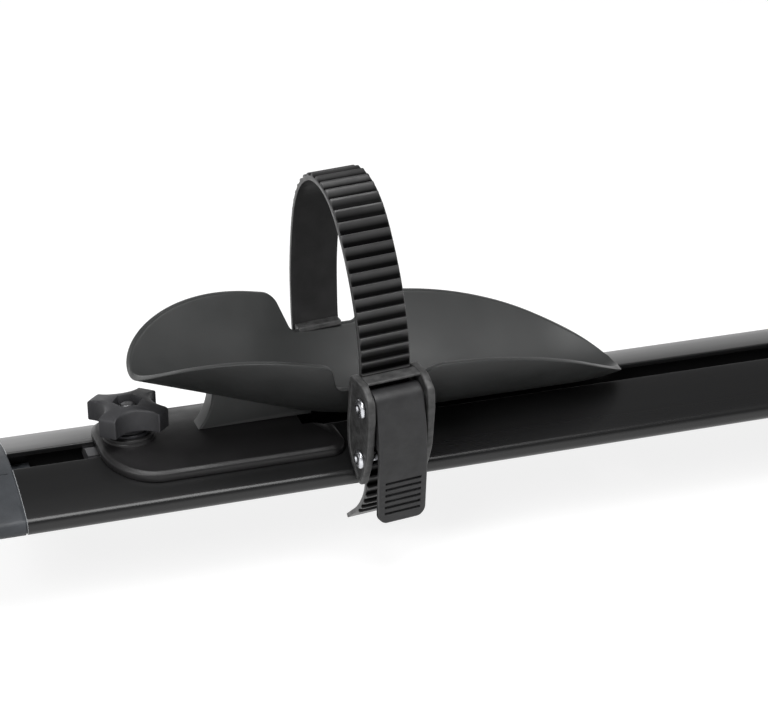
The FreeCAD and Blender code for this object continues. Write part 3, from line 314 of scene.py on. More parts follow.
PAINT = {
    "rail_metal": finish("black_anodised", (0.0105, 0.0105, 0.0108), rough=0.3, mottle=0.1, patch=18,
                         grain=0.04, fine=900, stretch=(0.04, 1, 1), uneven=0.04, sawn=0.69978),
    "cap_plastic": finish("cap_grain", (0.046, 0.05, 0.056), grain=0.22, fine=1500, wear=0.4, specular=0.4),
    "moulded_plastic": finish("cradle_satin", (0.034, 0.0352, 0.035), rough=0.44, mottle=0.12, patch=22,
                              grain=0.09, fine=1300, wear=0.35, specular=0.4),
    "plate_plastic": finish("plate_satin", (0.0125, 0.012, 0.0125), rough=0.42, mottle=0.15, patch=30,
                            grain=0.1, fine=1200, wear=0.4, specular=0.4),
    "knob_plastic": finish("knob_grain", (0.038, 0.038, 0.041), grain=0.24, fine=1700, wear=0.4,
                           specular=0.4),
    "buckle_plastic": finish("nylon_mottled", (0.052, 0.052, 0.052), rough=0.46, mottle=0.5, patch=230,
                             grain=0.3, fine=1100, wear=0.5, specular=0.4),
    "lever_plastic": finish("lever_grain", (0.024, 0.024, 0.025), patch=120, grain=0.24, fine=1500,
                            wear=0.45,
                            specular=0.4),
    # The strap's grooves get painted shade from the mesh's value raised.
    "strap_plastic": finish("strap_rubbery", (0.042, 0.0415, 0.042), rough=0.38, patch=80, grain=0.08,
                            fine=900, wear=0.6, groove_shade_share=0.97),
    "bar_metal": finish("extruded_bar", (0.28, 0.28, 0.29), metal=1.0, rough=0.42, mottle=0.15, grain=0.08,
                        fine=700, stretch=(0.1, 1, 1)),
    "dark_washer": finish("black_oxide", (0.05, 0.05, 0.055), metal=0.6, rough=0.35, mottle=0.3, patch=150,
                          grain=0.08),
    "pawl_metal": finish("stamped_steel", (0.3, 0.3, 0.31), metal=1.0, rough=0.4, mottle=0.25, patch=180,
                         grain=0.12, fine=800),
    "zinc": finish("bright_zinc", (0.66, 0.67, 0.7), metal=1.0, rough=0.28, mottle=0.18, patch=350,
                   grain=0.1,
                   fine=1300),
    "bolt_zinc": finish("dark_zinc", (0.27, 0.27, 0.28), metal=1.0, rough=0.42, mottle=0.3, patch=300,
                        grain=0.2, fine=900),
}
print("finishes", sorted(PAINT))

# %% [markdown]
# The rail is an aluminium extrusion, so it is one section drawn out along X. The section is walked once
# round: bottom, side, shoulder, the gently curved crown, the rolled lip of the slot and the channel
# below it. Only the right half is worked out, and the left half is its mirror image.

# %% Rail section
CROWN_RADIUS, HALF_WIDTH, SHOULDER, FOOT = 130.0, 51.0, 4.0, 5.0


def crown_z(y, radius=CROWN_RADIUS):
    """Height over the crown of an arc about the crown's axis: sqrt(r² - y²) - 130."""
    return np.sqrt(radius ** 2 - y ** 2) - CROWN_RADIUS


def arc(centre, radius, start, end, count):
    """Points on a circle between two angles in degrees."""
    angle = np.radians(np.linspace(start, end, count))
    return np.stack([centre[0] + radius * np.cos(angle), centre[1] + radius * np.sin(angle)], 1)


shoulder_y = HALF_WIDTH - SHOULDER
shoulder_z = CROWN - CROWN_RADIUS + math.sqrt((CROWN_RADIUS - SHOULDER) ** 2 - shoulder_y ** 2)
slant = math.degrees(math.atan2(shoulder_z - CROWN + CROWN_RADIUS, shoulder_y))
foot = arc((HALF_WIDTH - FOOT, FOOT), FOOT, -90, 0, 10)
shoulder = arc((shoulder_y, shoulder_z), SHOULDER, 0, slant, 10)
SLOT, LIP, LIP_ROUND, LIP_FOOT = 9.5, 2.8, 0.6, 0.3
CHANNEL, CHANNEL_ROUND, FLOOR = 17.0, 0.4, 2.5
lip_top = CROWN + crown_z(SLOT)
lip_low = lip_top - LIP
across = np.linspace(shoulder[-1, 0], SLOT + LIP_ROUND, 26)[1:]
crown = np.stack([across, CROWN + crown_z(across)], 1)
lip = arc((SLOT + LIP_ROUND, lip_top - 0.62), LIP_ROUND, 90, 180, 6)[1:]
under = arc((SLOT + LIP_FOOT, lip_low + LIP_FOOT), LIP_FOOT, 180, 270, 4)
channel = [(CHANNEL - CHANNEL_ROUND, lip_low), (CHANNEL, lip_low - CHANNEL_ROUND),
           (CHANNEL, FLOOR + CHANNEL_ROUND), (CHANNEL - CHANNEL_ROUND, FLOOR)]
half_section = np.concatenate([[(0, 0)], foot, shoulder, crown, lip, under, channel, [(0, FLOOR)]])
section = np.concatenate([half_section, half_section[-2:0:-1] * (-1, 1)])
RAIL_END, CHAMFER, MOUNT_X, MOUNT_RADIUS = 700.0, 0.25, 350.0, 4.25
stations = np.concatenate([[-RAIL_END, CHAMFER - RAIL_END], np.linspace(-640, 640, 9),
                           [RAIL_END - CHAMFER, RAIL_END]])
rail_grid = np.empty((len(stations), len(section), 3))
rail_grid[:, :, 0] = stations[:, None]
rail_grid[:, :, 1:] = section
rail_grid[[0, -1], :, 1:] += CHAMFER * inward(section)
rail = piece("rail_extrusion", [skin(rail_grid)], as_is, "left", "rail", "rail", "rail_metal", 30)
drill = [(MOUNT_RADIUS, -1), (MOUNT_RADIUS, 4)]
carve(rail, [lathe(drill, (x, 0, 0)) for x in (-MOUNT_X, MOUNT_X)], as_is, "left")
print("rail section has", len(section), "points")

# %% [markdown]
# Each end cap is a moulding that follows the rail's outside and then rounds off: its section shrinks
# along a quarter circle of 16 mm in width and 7 mm in height. A thin U-shaped groove, where the mould
# parts, is pressed into its top, and a tongue plugs the rail's channel.

# %% End caps
CAP, CORNER, RIM, MIDDLE = 28.0, 16.0, 7.0, CROWN / 2
GROOVE_Y, GROOVE_X, GROOVE_HALF, GROOVE_DEEP = 13.4, 21.4, 0.42, 1.1


def ease(u):
    """Quarter circle sqrt(1 - u²), which is 1 up to u = 0 and 0 from u = 1 on."""
    return np.sqrt(1 - np.clip(u, 0, 1) ** 2)


def at_end(points, side):
    """Half a turn for the left end, then out to the rail's end."""
    return points * (SIDES[side], SIDES[side], 1) + (SIDES[side] * RAIL_END, 0, 0)


fine_y = np.concatenate([np.linspace(46, 15, 14), np.linspace(14.4, 12.4, 15), np.linspace(11.5, 0, 8)])
cap_half = np.concatenate([[(0, 0)], foot, shoulder, np.stack([fine_y, CROWN + crown_z(fine_y)], 1)])
cap_section = np.concatenate([cap_half, cap_half[-2:0:-1] * (-1, 1)])
closing = CAP - 5.6 * np.cos(np.radians(np.linspace(0, 90, 12)))
walk = np.concatenate([[0, 0.55, 0.8], np.linspace(2.6, 3.4, 6), np.linspace(5, 12, 5),
                       np.linspace(13, 20, 9), np.linspace(20.6, 22.2, 13), closing])
wide = (HALF_WIDTH - CORNER + CORNER * ease((walk - CAP + CORNER) / CORNER)) / HALF_WIDTH
tall = (MIDDLE - RIM + RIM * ease((walk - CAP + RIM) / RIM)) / MIDDLE
wide[:3] -= (0.012, 0.012, 0)
tall[:3] -= (0.06, 0.06, 0)
cap_x = np.broadcast_to(walk[:, None], (len(walk), len(cap_section)))
cap_y = cap_section[None, :, 0] * wide[:, None]
cap_z = MIDDLE + (cap_section[None, :, 1] - MIDDLE) * tall[:, None]
along_u = (np.abs(np.abs(cap_y) - GROOVE_Y) < GROOVE_HALF) & (cap_x > 3) & (cap_x < 21.8)
across_u = (np.abs(cap_x - GROOVE_X) < GROOVE_HALF) & (np.abs(cap_y) < GROOVE_Y + 0.4)
cap_z -= GROOVE_DEEP * (along_u | across_u) * (cap_z > 12)
cap_skin = skin(np.dstack([cap_x, cap_y, cap_z]))
tongue_outline = rounded([(-16.85, 2.65), (16.85, 2.65), (16.85, 8.65), (-16.85, 8.65)], 0.8, 4)
tongue = slab(tongue_outline, -12, 1, 0.5, "yzx")
for side in SIDES:
    node = side + "_end_cap"
    piece(node + "_moulding", [cap_skin, tongue], at_end, side, "rail", node, "cap_plastic", 50)
print("cap is", CAP, "mm long with a groove at", GROOVE_Y, "mm")

# %% [markdown]
# The cradle is the long boat that the wheel stands in. Its underside is a height over the rail: a keel
# line along X (flat, then an arc, then a straight incline towards the nose, and a slight bow at the
# tip) plus a bowl across Y that rises with the power 1.8 of the distance. The wall is that surface
# lifted along its normal. In plan both ends are ovals, fuller than an ellipse because the width follows
# the power 0.8 of the sine. The strap's notch lowers the edge.

# %% Cradle surface
WALL, BEAM, FULL = 3.2, 56.0, 0.8
NOSE, NOSE_TAPER, TIP, TIP_TAPER = -19.5, 99.0, 29.0, 130.0
KEEL_Z, KEEL_X, KEEL_RADIUS, INCLINE = 0.8, 23.0, 191.0, math.radians(18.8)
BOW_X, BOW = 125.0, 272.0
BOWL, BOWL_SOFT, BOWL_POWER = 0.0325, 36.0, 0.9
NOTCH_Z, NOTCH_NOSE, NOTCH_TIP, NOSE_LEAN, TIP_LEAN = 33.5, -19.5, 19.0, 0.35, 0.9


def keel(x):
    """Height of the middle line: an arc into a straight incline, and a parabola past the bow."""
    straight = KEEL_X - KEEL_RADIUS * math.sin(INCLINE)
    run = np.clip(KEEL_X - x, 0, KEEL_X - straight)
    low = KEEL_RADIUS - np.sqrt(np.maximum(KEEL_RADIUS ** 2 - run ** 2, 0))
    rise = KEEL_Z + low + np.maximum(straight - x, 0) * math.tan(INCLINE)
    return rise + np.maximum(x - BOW_X, 0) ** 2 / BOW


def bowl(y):
    """Rise from the middle line: 0.0325 times ((y² + 36)^0.9 - 36^0.9)."""
    return BOWL * ((y * y + BOWL_SOFT) ** BOWL_POWER - BOWL_SOFT ** BOWL_POWER)


def bowl_reach(rise):
    """How far out the bowl has risen that much."""
    return np.sqrt(np.maximum((rise / BOWL + BOWL_SOFT ** BOWL_POWER) ** (1 / BOWL_POWER) - BOWL_SOFT, 0))


def beam(x):
    """Half width in plan: 56 (1 - t²)^0.4, where t is the share of the taper at the nose or tip."""
    nose, tip = np.clip((NOSE - x) / NOSE_TAPER, 0, 1), np.clip((x - TIP) / TIP_TAPER, 0, 1)
    return BEAM * ((1 - nose ** 2) * (1 - tip ** 2)) ** (FULL / 2)


def slopes(x, y):
    """Slope of the underside along X and Y, by small differences."""
    h = 0.01
    return (keel(x + h) - keel(x - h)) / (2 * h), (bowl(y + h) - bowl(y - h)) / (2 * h)


def boat(x, y, lift):
    """Underside point lifted along its normal."""
    sx, sy = slopes(x, y)
    size = np.sqrt(1 + sx * sx + sy * sy)
    return np.stack([x - lift * sx / size, y - lift * sy / size, keel(x) + bowl(y) + lift / size], -1)


def travelled(points):
    """Distance from the first point along the line, at every point."""
    return np.concatenate([[0], np.cumsum(np.linalg.norm(np.diff(points, axis=0), axis=1))])


def along_line(points, distance):
    """The line's points at the given distances along it."""
    track = travelled(points)
    return np.stack([np.interp(distance, track, points[:, 0]), np.interp(distance, track, points[:, 1])], 1)


def rim(x):
    """Height of the cradle's edge where no notch lowers it."""
    return keel(x) + bowl(beam(x))


nose_side = NOTCH_NOSE - NOSE_LEAN * (rim(-27.0) - NOTCH_Z)
tip_side = NOTCH_TIP + TIP_LEAN * (rim(30.0) - NOTCH_Z)
notch = rounded([(nose_side - 7.5, rim(nose_side - 7.5)), (nose_side, rim(nose_side)),
                 (NOTCH_NOSE, NOTCH_Z),
                 (NOTCH_TIP, NOTCH_Z), (tip_side, rim(tip_side)), (tip_side + 16, rim(tip_side + 16))],
                [0, 9, 5, 5, 12, 0], 14)
notch = along_line(notch, np.linspace(0, travelled(notch)[-1], 110))
to_nose = math.degrees(math.acos((notch[0, 0] - NOSE) / NOSE_TAPER))
to_tip = math.degrees(math.acos((notch[-1, 0] - TIP) / TIP_TAPER))
nose = np.radians(180 - (180 - to_nose) * np.linspace(0, 1, 58)[:-1] ** 1.15)
tip = np.radians(to_tip * (1 - np.linspace(0, 1, 66)[1:]) ** 1.15)
edge_x = np.concatenate([NOSE + NOSE_TAPER * np.cos(nose), notch[:, 0], TIP + TIP_TAPER * np.cos(tip)])
edge_y = np.concatenate([BEAM * np.abs(np.sin(nose)) ** FULL, bowl_reach(notch[:, 1] - keel(notch[:, 0])),
                         BEAM * np.abs(np.sin(tip)) ** FULL])
edge_y[[0, -1]] = 0
edge_x = np.concatenate([edge_x, edge_x[-2:0:-1]])
edge_y = np.concatenate([edge_y, -edge_y[-2:0:-1]])
spine = np.clip(edge_x, -96, 132)
print("cradle edge has", len(edge_x), "points, notch from", round(float(nose_side), 1), "to",
      round(float(tip_side), 1), "mm")

# %% [markdown]
# Rows run from the keel out to the edge on the underside, over the rim and back down inside. They stop
# 1.5 mm short of the edge, which leaves room for the rim's own rows. The rim is cut level on the side
# walls and square at the nose and tip. Its two corners are softened with a short curve, which gives the
# thin pale line along the edge. A flat web under the keel carries the cradle on its plate.

# %% Cradle
SHORT, WEB_FROM, WEB_TO, WEB_FOOT, WEB_SINK = 1.5, -76.0, -22.0, 4.8, 1.6


def quadratic(t, one, middle, other):
    """The curve (1 - t)² one + 2 t (1 - t) middle + t² other."""
    return (1 - t) ** 2 * one + 2 * t * (1 - t) * middle + t ** 2 * other


def rows_out(x, y, lift):
    """Rows from the middle line to just short of an edge, closer together as they near it."""
    fan = np.sin(np.linspace(0, math.pi / 2, 22))[:, None]
    reach = fan * (1 - SHORT / np.hypot(x - spine, y))
    return boat(spine + (x - spine) * reach, y * reach, lift)


gx, gy = slopes(edge_x, edge_y)
steep = np.hypot(gx, gy)
share = np.clip((steep - 0.35) / 0.6, 0, 1)
theta = np.arctan(steep)
back = share * WALL * np.cos(theta) ** 2 / np.sin(theta)
in_x, in_y = edge_x - back * gx / steep, edge_y - back * gy / steep
outer_corner, inner_corner = boat(edge_x, edge_y, 0.0), boat(in_x, in_y, WALL)
below, inside = rows_out(edge_x, edge_y, 0.0), rows_out(in_x, in_y, WALL)


def soften(corner, one, other):
    """A quadratic curve from one side of a corner to the other, under half the rim's width long."""
    size = np.minimum(1.0, 0.45 * np.linalg.norm(outer_corner - inner_corner, axis=-1, keepdims=True))
    one = corner + (one - corner) / np.linalg.norm(one - corner, axis=-1, keepdims=True) * size
    other = corner + (other - corner) / np.linalg.norm(other - corner, axis=-1, keepdims=True) * size
    return quadratic(np.linspace(0, 1, 6)[:, None, None], one, corner, other)


rim_rows = np.concatenate([soften(outer_corner, below[-1], inner_corner),
                           soften(inner_corner, outer_corner, inside[-1])])
hull = skin(np.concatenate([below, rim_rows, inside[::-1]]), ends=False)
web_top = np.linspace(WEB_FROM, WEB_TO, 9)
top_z = keel(WEB_FROM) + WEB_SINK
bend = np.array([(-84, WEB_FOOT), (-78.4, WEB_FOOT + 0.45 * (top_z - WEB_FOOT)), (WEB_FROM, top_z)])
outer_pull = 2 * bend[1] - bend[0] / 2 - bend[2] / 2
web_front = quadratic(np.linspace(0, 1, 12)[:, None], bend[0], outer_pull, bend[2])
web_outline = np.concatenate([web_front[:-1], np.stack([web_top, keel(web_top) + WEB_SINK], 1),
                              [(WEB_TO, WEB_FOOT)]])
web = slab(web_outline, -6, 6, 1.0, "xzy")
for side in SIDES:
    node = side + "_cradle"
    piece(node + "_boat", [hull, web], on_rail, side, side + "_holder", node, "moulded_plastic", 50)
print("cradle rim is", round(float(rim(0.0)), 1), "mm over the rail at the strap, notch floor", NOTCH_Z)

# %% [markdown]
# The base plate slides on the rail's crown, so both its faces are arcs about the crown's axis. Its rows
# are pulled in from the outline: a rounded lower edge, an upright side, a slanted upper edge with a
# fine bead above it, and then straight to the middle line. The boss under the knob is turned on a lathe.

# %% Base plate and its boss
PLATE_FROM, PLATE_TO, PLATE_HALF, PLATE_LOW, PLATE_HIGH, KNOB_X = -137.5, -12.0, 39.0, 0.3, 4.8, -120.0
plan = rounded([(PLATE_FROM, -PLATE_HALF), (PLATE_TO, -PLATE_HALF), (PLATE_TO, PLATE_HALF),
                (PLATE_FROM, PLATE_HALF)], [28, 8, 8, 28], 26)
plan = np.concatenate([plan[:len(plan) // 2], (plan[:len(plan) // 2] * (1, -1))[::-1]])
plate_spine = np.clip(plan[:, 0], -108, -34)[:, None] * (1, 0)
inset = np.array([2.0, 0.5, 0.15, 0, 0, 0.08, 0.3, 0.6, 1.2, 1.7, 2.2, 2.9, 3.6])
mix = np.array([0, 0, 0.04, 0.12, 0.6, 0.7, 0.79, 0.85, 0.93, 0.98, 1, 1, 1])
bead = np.array([0, 0, 0, 0, 0, 0, 0, 0, 0, 0.06, 0.16, 0.1, 0])
rims = plan[None] + inward(plan)[None] * inset[:, None, None]
fill = np.linspace(1, 0, 12)[1:, None, None]
top_rows = plate_spine + (rims[-1] - plate_spine) * fill
low_rows = (plate_spine + (rims[0] - plate_spine) * fill)[::-1]
flat = np.concatenate([low_rows, rims, top_rows])
mix = np.concatenate([np.zeros(len(fill)), mix, np.ones(len(fill))])[:, None]
bead = np.concatenate([np.zeros(len(fill)), bead, np.zeros(len(fill))])[:, None]
low_z, high_z = (crown_z(flat[:, :, 1], CROWN_RADIUS + lift) for lift in (PLATE_LOW, PLATE_HIGH))
plate_skin = skin(np.dstack([flat, low_z * (1 - mix) + high_z * mix + bead]), ends=False)
boss = lathe([(0, 2), (13.9, 2), (13.9, 4.9), (13.7, 5.3), (13.5, 5.6), (13.5, 6.6), (13.3, 7.1),
              (12.8, 7.4),
              (11.9, 7.4), (11.7, 7.0), (11.4, 7.0), (11.2, 7.4), (0, 7.4)], (KNOB_X, 0, 0))
keel_gap = slab(rounded([(-30, -15), (5, -15), (5, 15), (-30, 15)], 0.5, 3), -6, 16, 0.1)
for side in SIDES:
    node = side + "_base_plate"
    plate = piece(node + "_moulding", [plate_skin], on_rail, side, side + "_holder", node,
                  "moulded_plastic", 40, "plate_plastic")
    carve(plate, [keel_gap], on_rail, side)
    piece(node + "_boss", [boss], on_rail, side, side + "_holder", node, "moulded_plastic", 30,
          "plate_plastic")
print("plate is", PLATE_TO - PLATE_FROM, "by", 2 * PLATE_HALF, "mm,", PLATE_HIGH - PLATE_LOW, "mm thick")

# %% [markdown]
# The knob has four lobes with flat ends and hollow sides between them. Each row is a radius as a
# function of the angle: 21.5 / cos(angle) on a lobe's end, and the near side of a 14.2 mm circle between
# two lobes. The same angles serve the hexagon pocket in the top, so rows can run from one to the other,
# and the top falls evenly from the pocket's rim to the lobes' ends.

# %% Knob
ARM, HALF_ARM, DIAL, SCOOP, POCKET = 21.5, 5.0, 18.92, 14.157, 6.8
KNOB_HIGH, KNOB_FALL, KNOB_LIFT, KNOB_SPIN = 12.9, 2.2, 12.0, 48.0
step = np.linspace(0, math.pi / 2, 400, endpoint=False)
lobe = np.where(np.abs(step - math.pi / 4) > math.pi / 4 - math.atan(HALF_ARM / ARM),
                ARM / np.maximum(np.cos(step), np.sin(step)), 0)
dot = DIAL * (np.cos(step) + np.sin(step))
hollow = dot - np.sqrt(np.maximum(SCOOP ** 2 - 2 * DIAL ** 2 + dot ** 2, 0))
radius = np.tile(np.where(lobe > 0, lobe, hollow), 4)
angle = np.linspace(0, 2 * math.pi, 1600, endpoint=False)
ring_points = np.stack([radius * np.cos(angle), radius * np.sin(angle)], 1)
closed = np.concatenate([ring_points, ring_points[:1]])
lobes = along_line(closed, np.linspace(0, travelled(closed)[-1], 480, endpoint=False))
lobes = sum(np.roll(lobes, k, 0) for k in range(-2, 3)) / 5
turn = np.arctan2(lobes[:, 1], lobes[:, 0])
size = np.linalg.norm(lobes, axis=1)


def hexagon(flats):
    """Radius of a hexagon over the angle: half its flats over the cosine from the nearest flat."""
    return flats / np.cos((turn - math.radians(10)) % (math.pi / 3) - math.pi / 6)


def circle(r):
    """The same radius at every angle."""
    return np.full(len(turn), float(r))


def domed(r, drop=0.0):
    """Height of the knob's top, which falls evenly from the pocket to the lobes' ends."""
    return KNOB_HIGH - KNOB_FALL * (r - POCKET) / (ARM - POCKET) - drop


def spun(rows, lift):
    """Rows of (radius for every angle, height) about the knob's axis, turned to how it stands."""
    r = np.array([row[0] for row in rows])
    z = np.array([np.broadcast_to(row[1], len(turn)) for row in rows], float) + lift
    a = turn[None] + math.radians(KNOB_SPIN)
    return np.stack([r * np.cos(a) + KNOB_X, r * np.sin(a), z], -1)


between = (size - 1.4) * 0.45 + hexagon(7.3) * 0.55
knob_rows = [(circle(4.1), -3), (circle(8.9), -3), (circle(9.35), -2.85), (circle(9.5), -2.4),
             (circle(9.5), -0.3), (circle(9.8), 0), (size - 1.0, 0), (size - 0.35, 0.12), (size - 0.1, 0.4),
             (size, 0.9), (size, domed(size, 1.3)), (size - 0.12, domed(size, 0.8)),
             (size - 0.45, domed(size, 0.35)), (size - 0.9, domed(size, 0.07)),
             (size - 1.4, domed(size - 1.4)), (between, domed(between)),
             (hexagon(7.25), domed(hexagon(7.25))),
             (hexagon(6.95), domed(hexagon(6.95), 0.1)), (hexagon(POCKET), domed(hexagon(POCKET), 0.4)),
             (hexagon(POCKET), 1.2), (circle(4.1), 1.2)]
print("knob is", 2 * ARM, "mm across its lobes")

# %% [markdown]
# In the pocket sits a hexagon nut, whose corners are turned off at both faces. The bolt's thread is a
# ripple that climbs one pitch with each turn: the radius falls by half of 1 - cos of the phase.

# %% Nut, bolt and washer
NUT, NUT_HIGH, NUT_SEAT, BOLT_HEAD = 6.5, 6.5, 13.2, 6.5
THREAD_PITCH, SHANK, THREAD_DEEP, THREAD_FROM = 1.25, 3.98, 0.42, 9
crown_cut = np.minimum(hexagon(NUT), 7.15)
nut_rows = [(circle(4.1), 0), (crown_cut - 0.2, 0), (hexagon(NUT), 0.5), (hexagon(NUT), NUT_HIGH - 0.5),
            (crown_cut - 0.2, NUT_HIGH), (circle(4.5), NUT_HIGH), (circle(4.1), NUT_HIGH - 0.3)]
shank_z = np.concatenate([np.arange(-6, 22.4, 0.21), [22.6, 22.95, 23.2, 23.4, 23.5]])
spiral = np.linspace(0, 2 * math.pi, 40, endpoint=False)
phase = 2 * math.pi * (shank_z[:, None] / THREAD_PITCH - spiral[None] / (2 * math.pi))
thread = SHANK - THREAD_DEEP * (0.5 - 0.5 * np.cos(phase)) * (shank_z[:, None] > THREAD_FROM)
thread[-5:] = np.array([3.6, 3.2, 2.5, 1.5, 0.4])[:, None]
bolt_grid = np.stack([thread * np.cos(spiral) + KNOB_X, thread * np.sin(spiral),
                      np.broadcast_to(shank_z[:, None], thread.shape)], -1)
head_outline = rounded(BOLT_HEAD * np.array([(-1, -1), (1, -1), (1, 1), (-1, 1)]) + (KNOB_X, 0), 0.8, 4)
washer = lathe([(4.3, 7.4), (10.6, 7.4), (11, 7.6), (11, 8.75), (10.75, 9), (4.3, 9)], (KNOB_X, 0, 0),
               ring=True)
for side in SIDES:
    hand = side + "_hand_knob"
    piece(side + "_knob_lobes", [skin(spun(knob_rows, KNOB_LIFT), ring=True)], on_rail, side, hand,
          side + "_knob", "knob_plastic", 50)
    piece(side + "_knob_nut_hexagon", [skin(spun(nut_rows, NUT_SEAT), ring=True)], on_rail, side, hand,
          side + "_knob_nut", "zinc", paint="bolt_zinc")
    piece(side + "_clamp_bolt_threaded", [skin(bolt_grid), slab(head_outline, -10.75, -5.45, 0.5)], on_rail,
          side, side + "_clamp", side + "_clamp_bolt", "zinc", 60, "bolt_zinc")
    piece(side + "_knob_washer_ring", [washer], on_rail, side, side + "_holder", side + "_knob_washer",
          "dark_washer", 30)
print("nut is", 2 * NUT, "mm over its flats, thread pitch", THREAD_PITCH, "mm")

# %% [markdown]
# The strap is a band that follows a smooth line from the hook at the back, over the wheel and down
# through the buckle. Its line is a cubic spline: between two points it is a cubic, and slope and
# curvature agree where two cubics meet, which is one small linear system to solve.

# %% Strap line
ROUTE = np.array([(49.6, 13), (49.6, 21), (49.6, 30), (49.6, 38), (48.6, 49), (46, 68), (40.8, 88),
                  (32.5, 109.5),
                  (19.5, 126.3), (1, 135.3), (-16, 133.8), (-29.8, 125), (-38.8, 112.6), (-46.3, 97.8),
                  (-52, 81), (-55, 65), (-55, 50), (-53.2, 36), (-53, 20), (-53.7, 2), (-54.2, -10),
                  (-52.2, -20), (-47.2, -28.3), (-40, -36.3), (-31.5, -43.3), (-22, -50.3)], float)


def smooth_line(points, count):
    """Natural cubic spline through the points, by distance between them, at many even steps."""
    knots = travelled(points)
    h, n = np.diff(knots), len(points)
    system, right = np.eye(n), np.zeros((n, 2))
    k = np.arange(1, n - 1)
    system[k, k - 1], system[k, k], system[k, k + 1] = h[:-1], 2 * (h[:-1] + h[1:]), h[1:]
    rise = np.diff(points, axis=0) / h[:, None]
    right[1:-1] = 6 * np.diff(rise, axis=0)
    bend = np.linalg.solve(system, right)
    t = np.linspace(0, knots[-1], count)
    k = np.clip(np.searchsorted(knots, t) - 1, 0, n - 2)
    a, b, hk = (knots[k + 1] - t)[:, None], (t - knots[k])[:, None], h[k][:, None]
    return (bend[k] * a ** 3 + bend[k + 1] * b ** 3) / (6 * hk) + (points[k] / hk - bend[k] * hk / 6) * a \
        + (points[k + 1] / hk - bend[k + 1] * hk / 6) * b


line = smooth_line(ROUTE, 6000)
STRAP_LENGTH = travelled(line)[-1]
print("strap line is", round(float(STRAP_LENGTH), 1), "mm long")

# %% [markdown]
# Every 6.5 mm a saw tooth stands 1.5 mm proud of the band, with a steep upper side and a long slope
# below it. The teeth stop just short of the edges with rounded ends. Rows are set close together at each
# tooth's corners and further apart between them, so the teeth stay crisp without a heavy mesh. The value
# raised is 0 in the grooves between the teeth, where the finish gets painted shade: a darker colour and a
# lower specular level.

# %% Strap
TOOTH, PLAIN, SPACING, BAND = 1.5, 59.1, 6.5, 1.2
teeth = PLAIN + SPACING * np.arange(int((STRAP_LENGTH - 6 - PLAIN) / SPACING))
corners = np.array([-3.1, -2.93, -2.8, -2.66, -2.5, -2.2, -1.75, -1.4, -0.5, 0.5, 1.45, 1.9])
heights = np.array([0, 0.12, 0.7, 1.36, 1.5, 1.5, 1.5, 1.38, 0.93, 0.47, 0.07, 0])
plain_rows = [0, 0.3, STRAP_LENGTH - 0.3, STRAP_LENGTH], np.arange(2, PLAIN - 4, 2.0)
stops = np.unique(np.round(np.concatenate([*plain_rows, (teeth[:, None] + corners).ravel()]), 3))
nearest = teeth[np.clip(np.round((stops - PLAIN) / SPACING).astype(int), 0, len(teeth) - 1)]
height = np.interp(stops - nearest, corners, heights, left=0, right=0)[:, None] / TOOTH
spot = along_line(line, stops)
ahead, behind = along_line(line, stops + 0.2), along_line(line, stops - 0.2)
along = (ahead - behind) / np.linalg.norm(ahead - behind, axis=1, keepdims=True)
outward = np.stack([along[:, 1], -along[:, 0]], 1)
half_x = np.array([13.2, 13.5, 13.6, 13.6, 13.58, 13.5, 13.4, 13.3, 13.2, 13.0, 12.7, 12.1, 7, 2])
half_n = np.array([-1.2, -1.1, -0.85, 0.8, 1.02, 1.14, 1.2, 1.2, 1.2, 1.2, 1.2, 1.2, 1.2, 1.2])
half_up = np.array([0, 0, 0, 0, 0, 0, 0, 0.05, 0.6, 0.88, 0.97, 1, 1, 1])
loop_x = np.concatenate([[4, 9], half_x, -half_x[::-1], [-9, -4]])
loop_n = np.concatenate([[-BAND, -BAND], half_n, half_n[::-1], [-BAND, -BAND]])
loop_up = np.concatenate([[0, 0], half_up, half_up[::-1], [0, 0]])[None]
offset = loop_n[None] + loop_up * TOOTH * height
toothed = ((stops > PLAIN - 3.3) & (stops < teeth[-1] + 3))[:, None]
# Painted shade mask: 0 in the grooves between the teeth, where the finish is darkened.
raised = 1 - toothed * loop_up * (1 - height)
strap_grid = np.empty(offset.shape + (3,))
strap_grid[:, :, 0] = loop_x
strap_grid[:, :, 1:] = spot[:, None] + outward[:, None] * offset[:, :, None]
for side in SIDES:
    node = side + "_strap"
    piece(node + "_toothed", [skin(strap_grid)], on_strap, side, side + "_holder", node, "strap_plastic",
          28, raised=raised)
print("teeth", len(teeth), "rows", len(stops))

# %% [markdown]
# The buckle's frame is glass-filled nylon: two cheeks with a raised rim, joined by a back plate that
# hooks over the cradle's wall and by a thin bar at the top that guides the strap. The hook at the
# strap's fixed end has the same profile. All are outlines with some width, so slab makes them.

# %% Buckle frame and strap hook
CHEEK = [(-42.8, 14), (-48.5, 35), (-53, 48.2), (-69, 47.5), (-77.5, 41), (-76.5, 30), (-70.5, 6),
         (-58, -16.5),
         (-46.5, -5), (-43.2, 3)]
CHEEK_ROUNDS = [40, 20, 4.3, 8, 5, 20, 30, 5, 8, 8]
INSIDE, OUTSIDE, HALF_HOOK, RIVET_X, RIVET_Z = 14.3, 18.3, 12.5, 6, 20


def hook_profile(sign, face, leg, low):
    """Outer leg, flange over the wall's edge and inner lip."""
    points = [(face - leg, low), (face, low), (face, 35.8), (face - 7, 35.8), (face - 8.5, 33.2),
              (face - leg, 31.2)]
    return rounded([(sign * y, z) for y, z in points], [1, 1, 1.2, 1.2, 0.8, 0.4], 6)


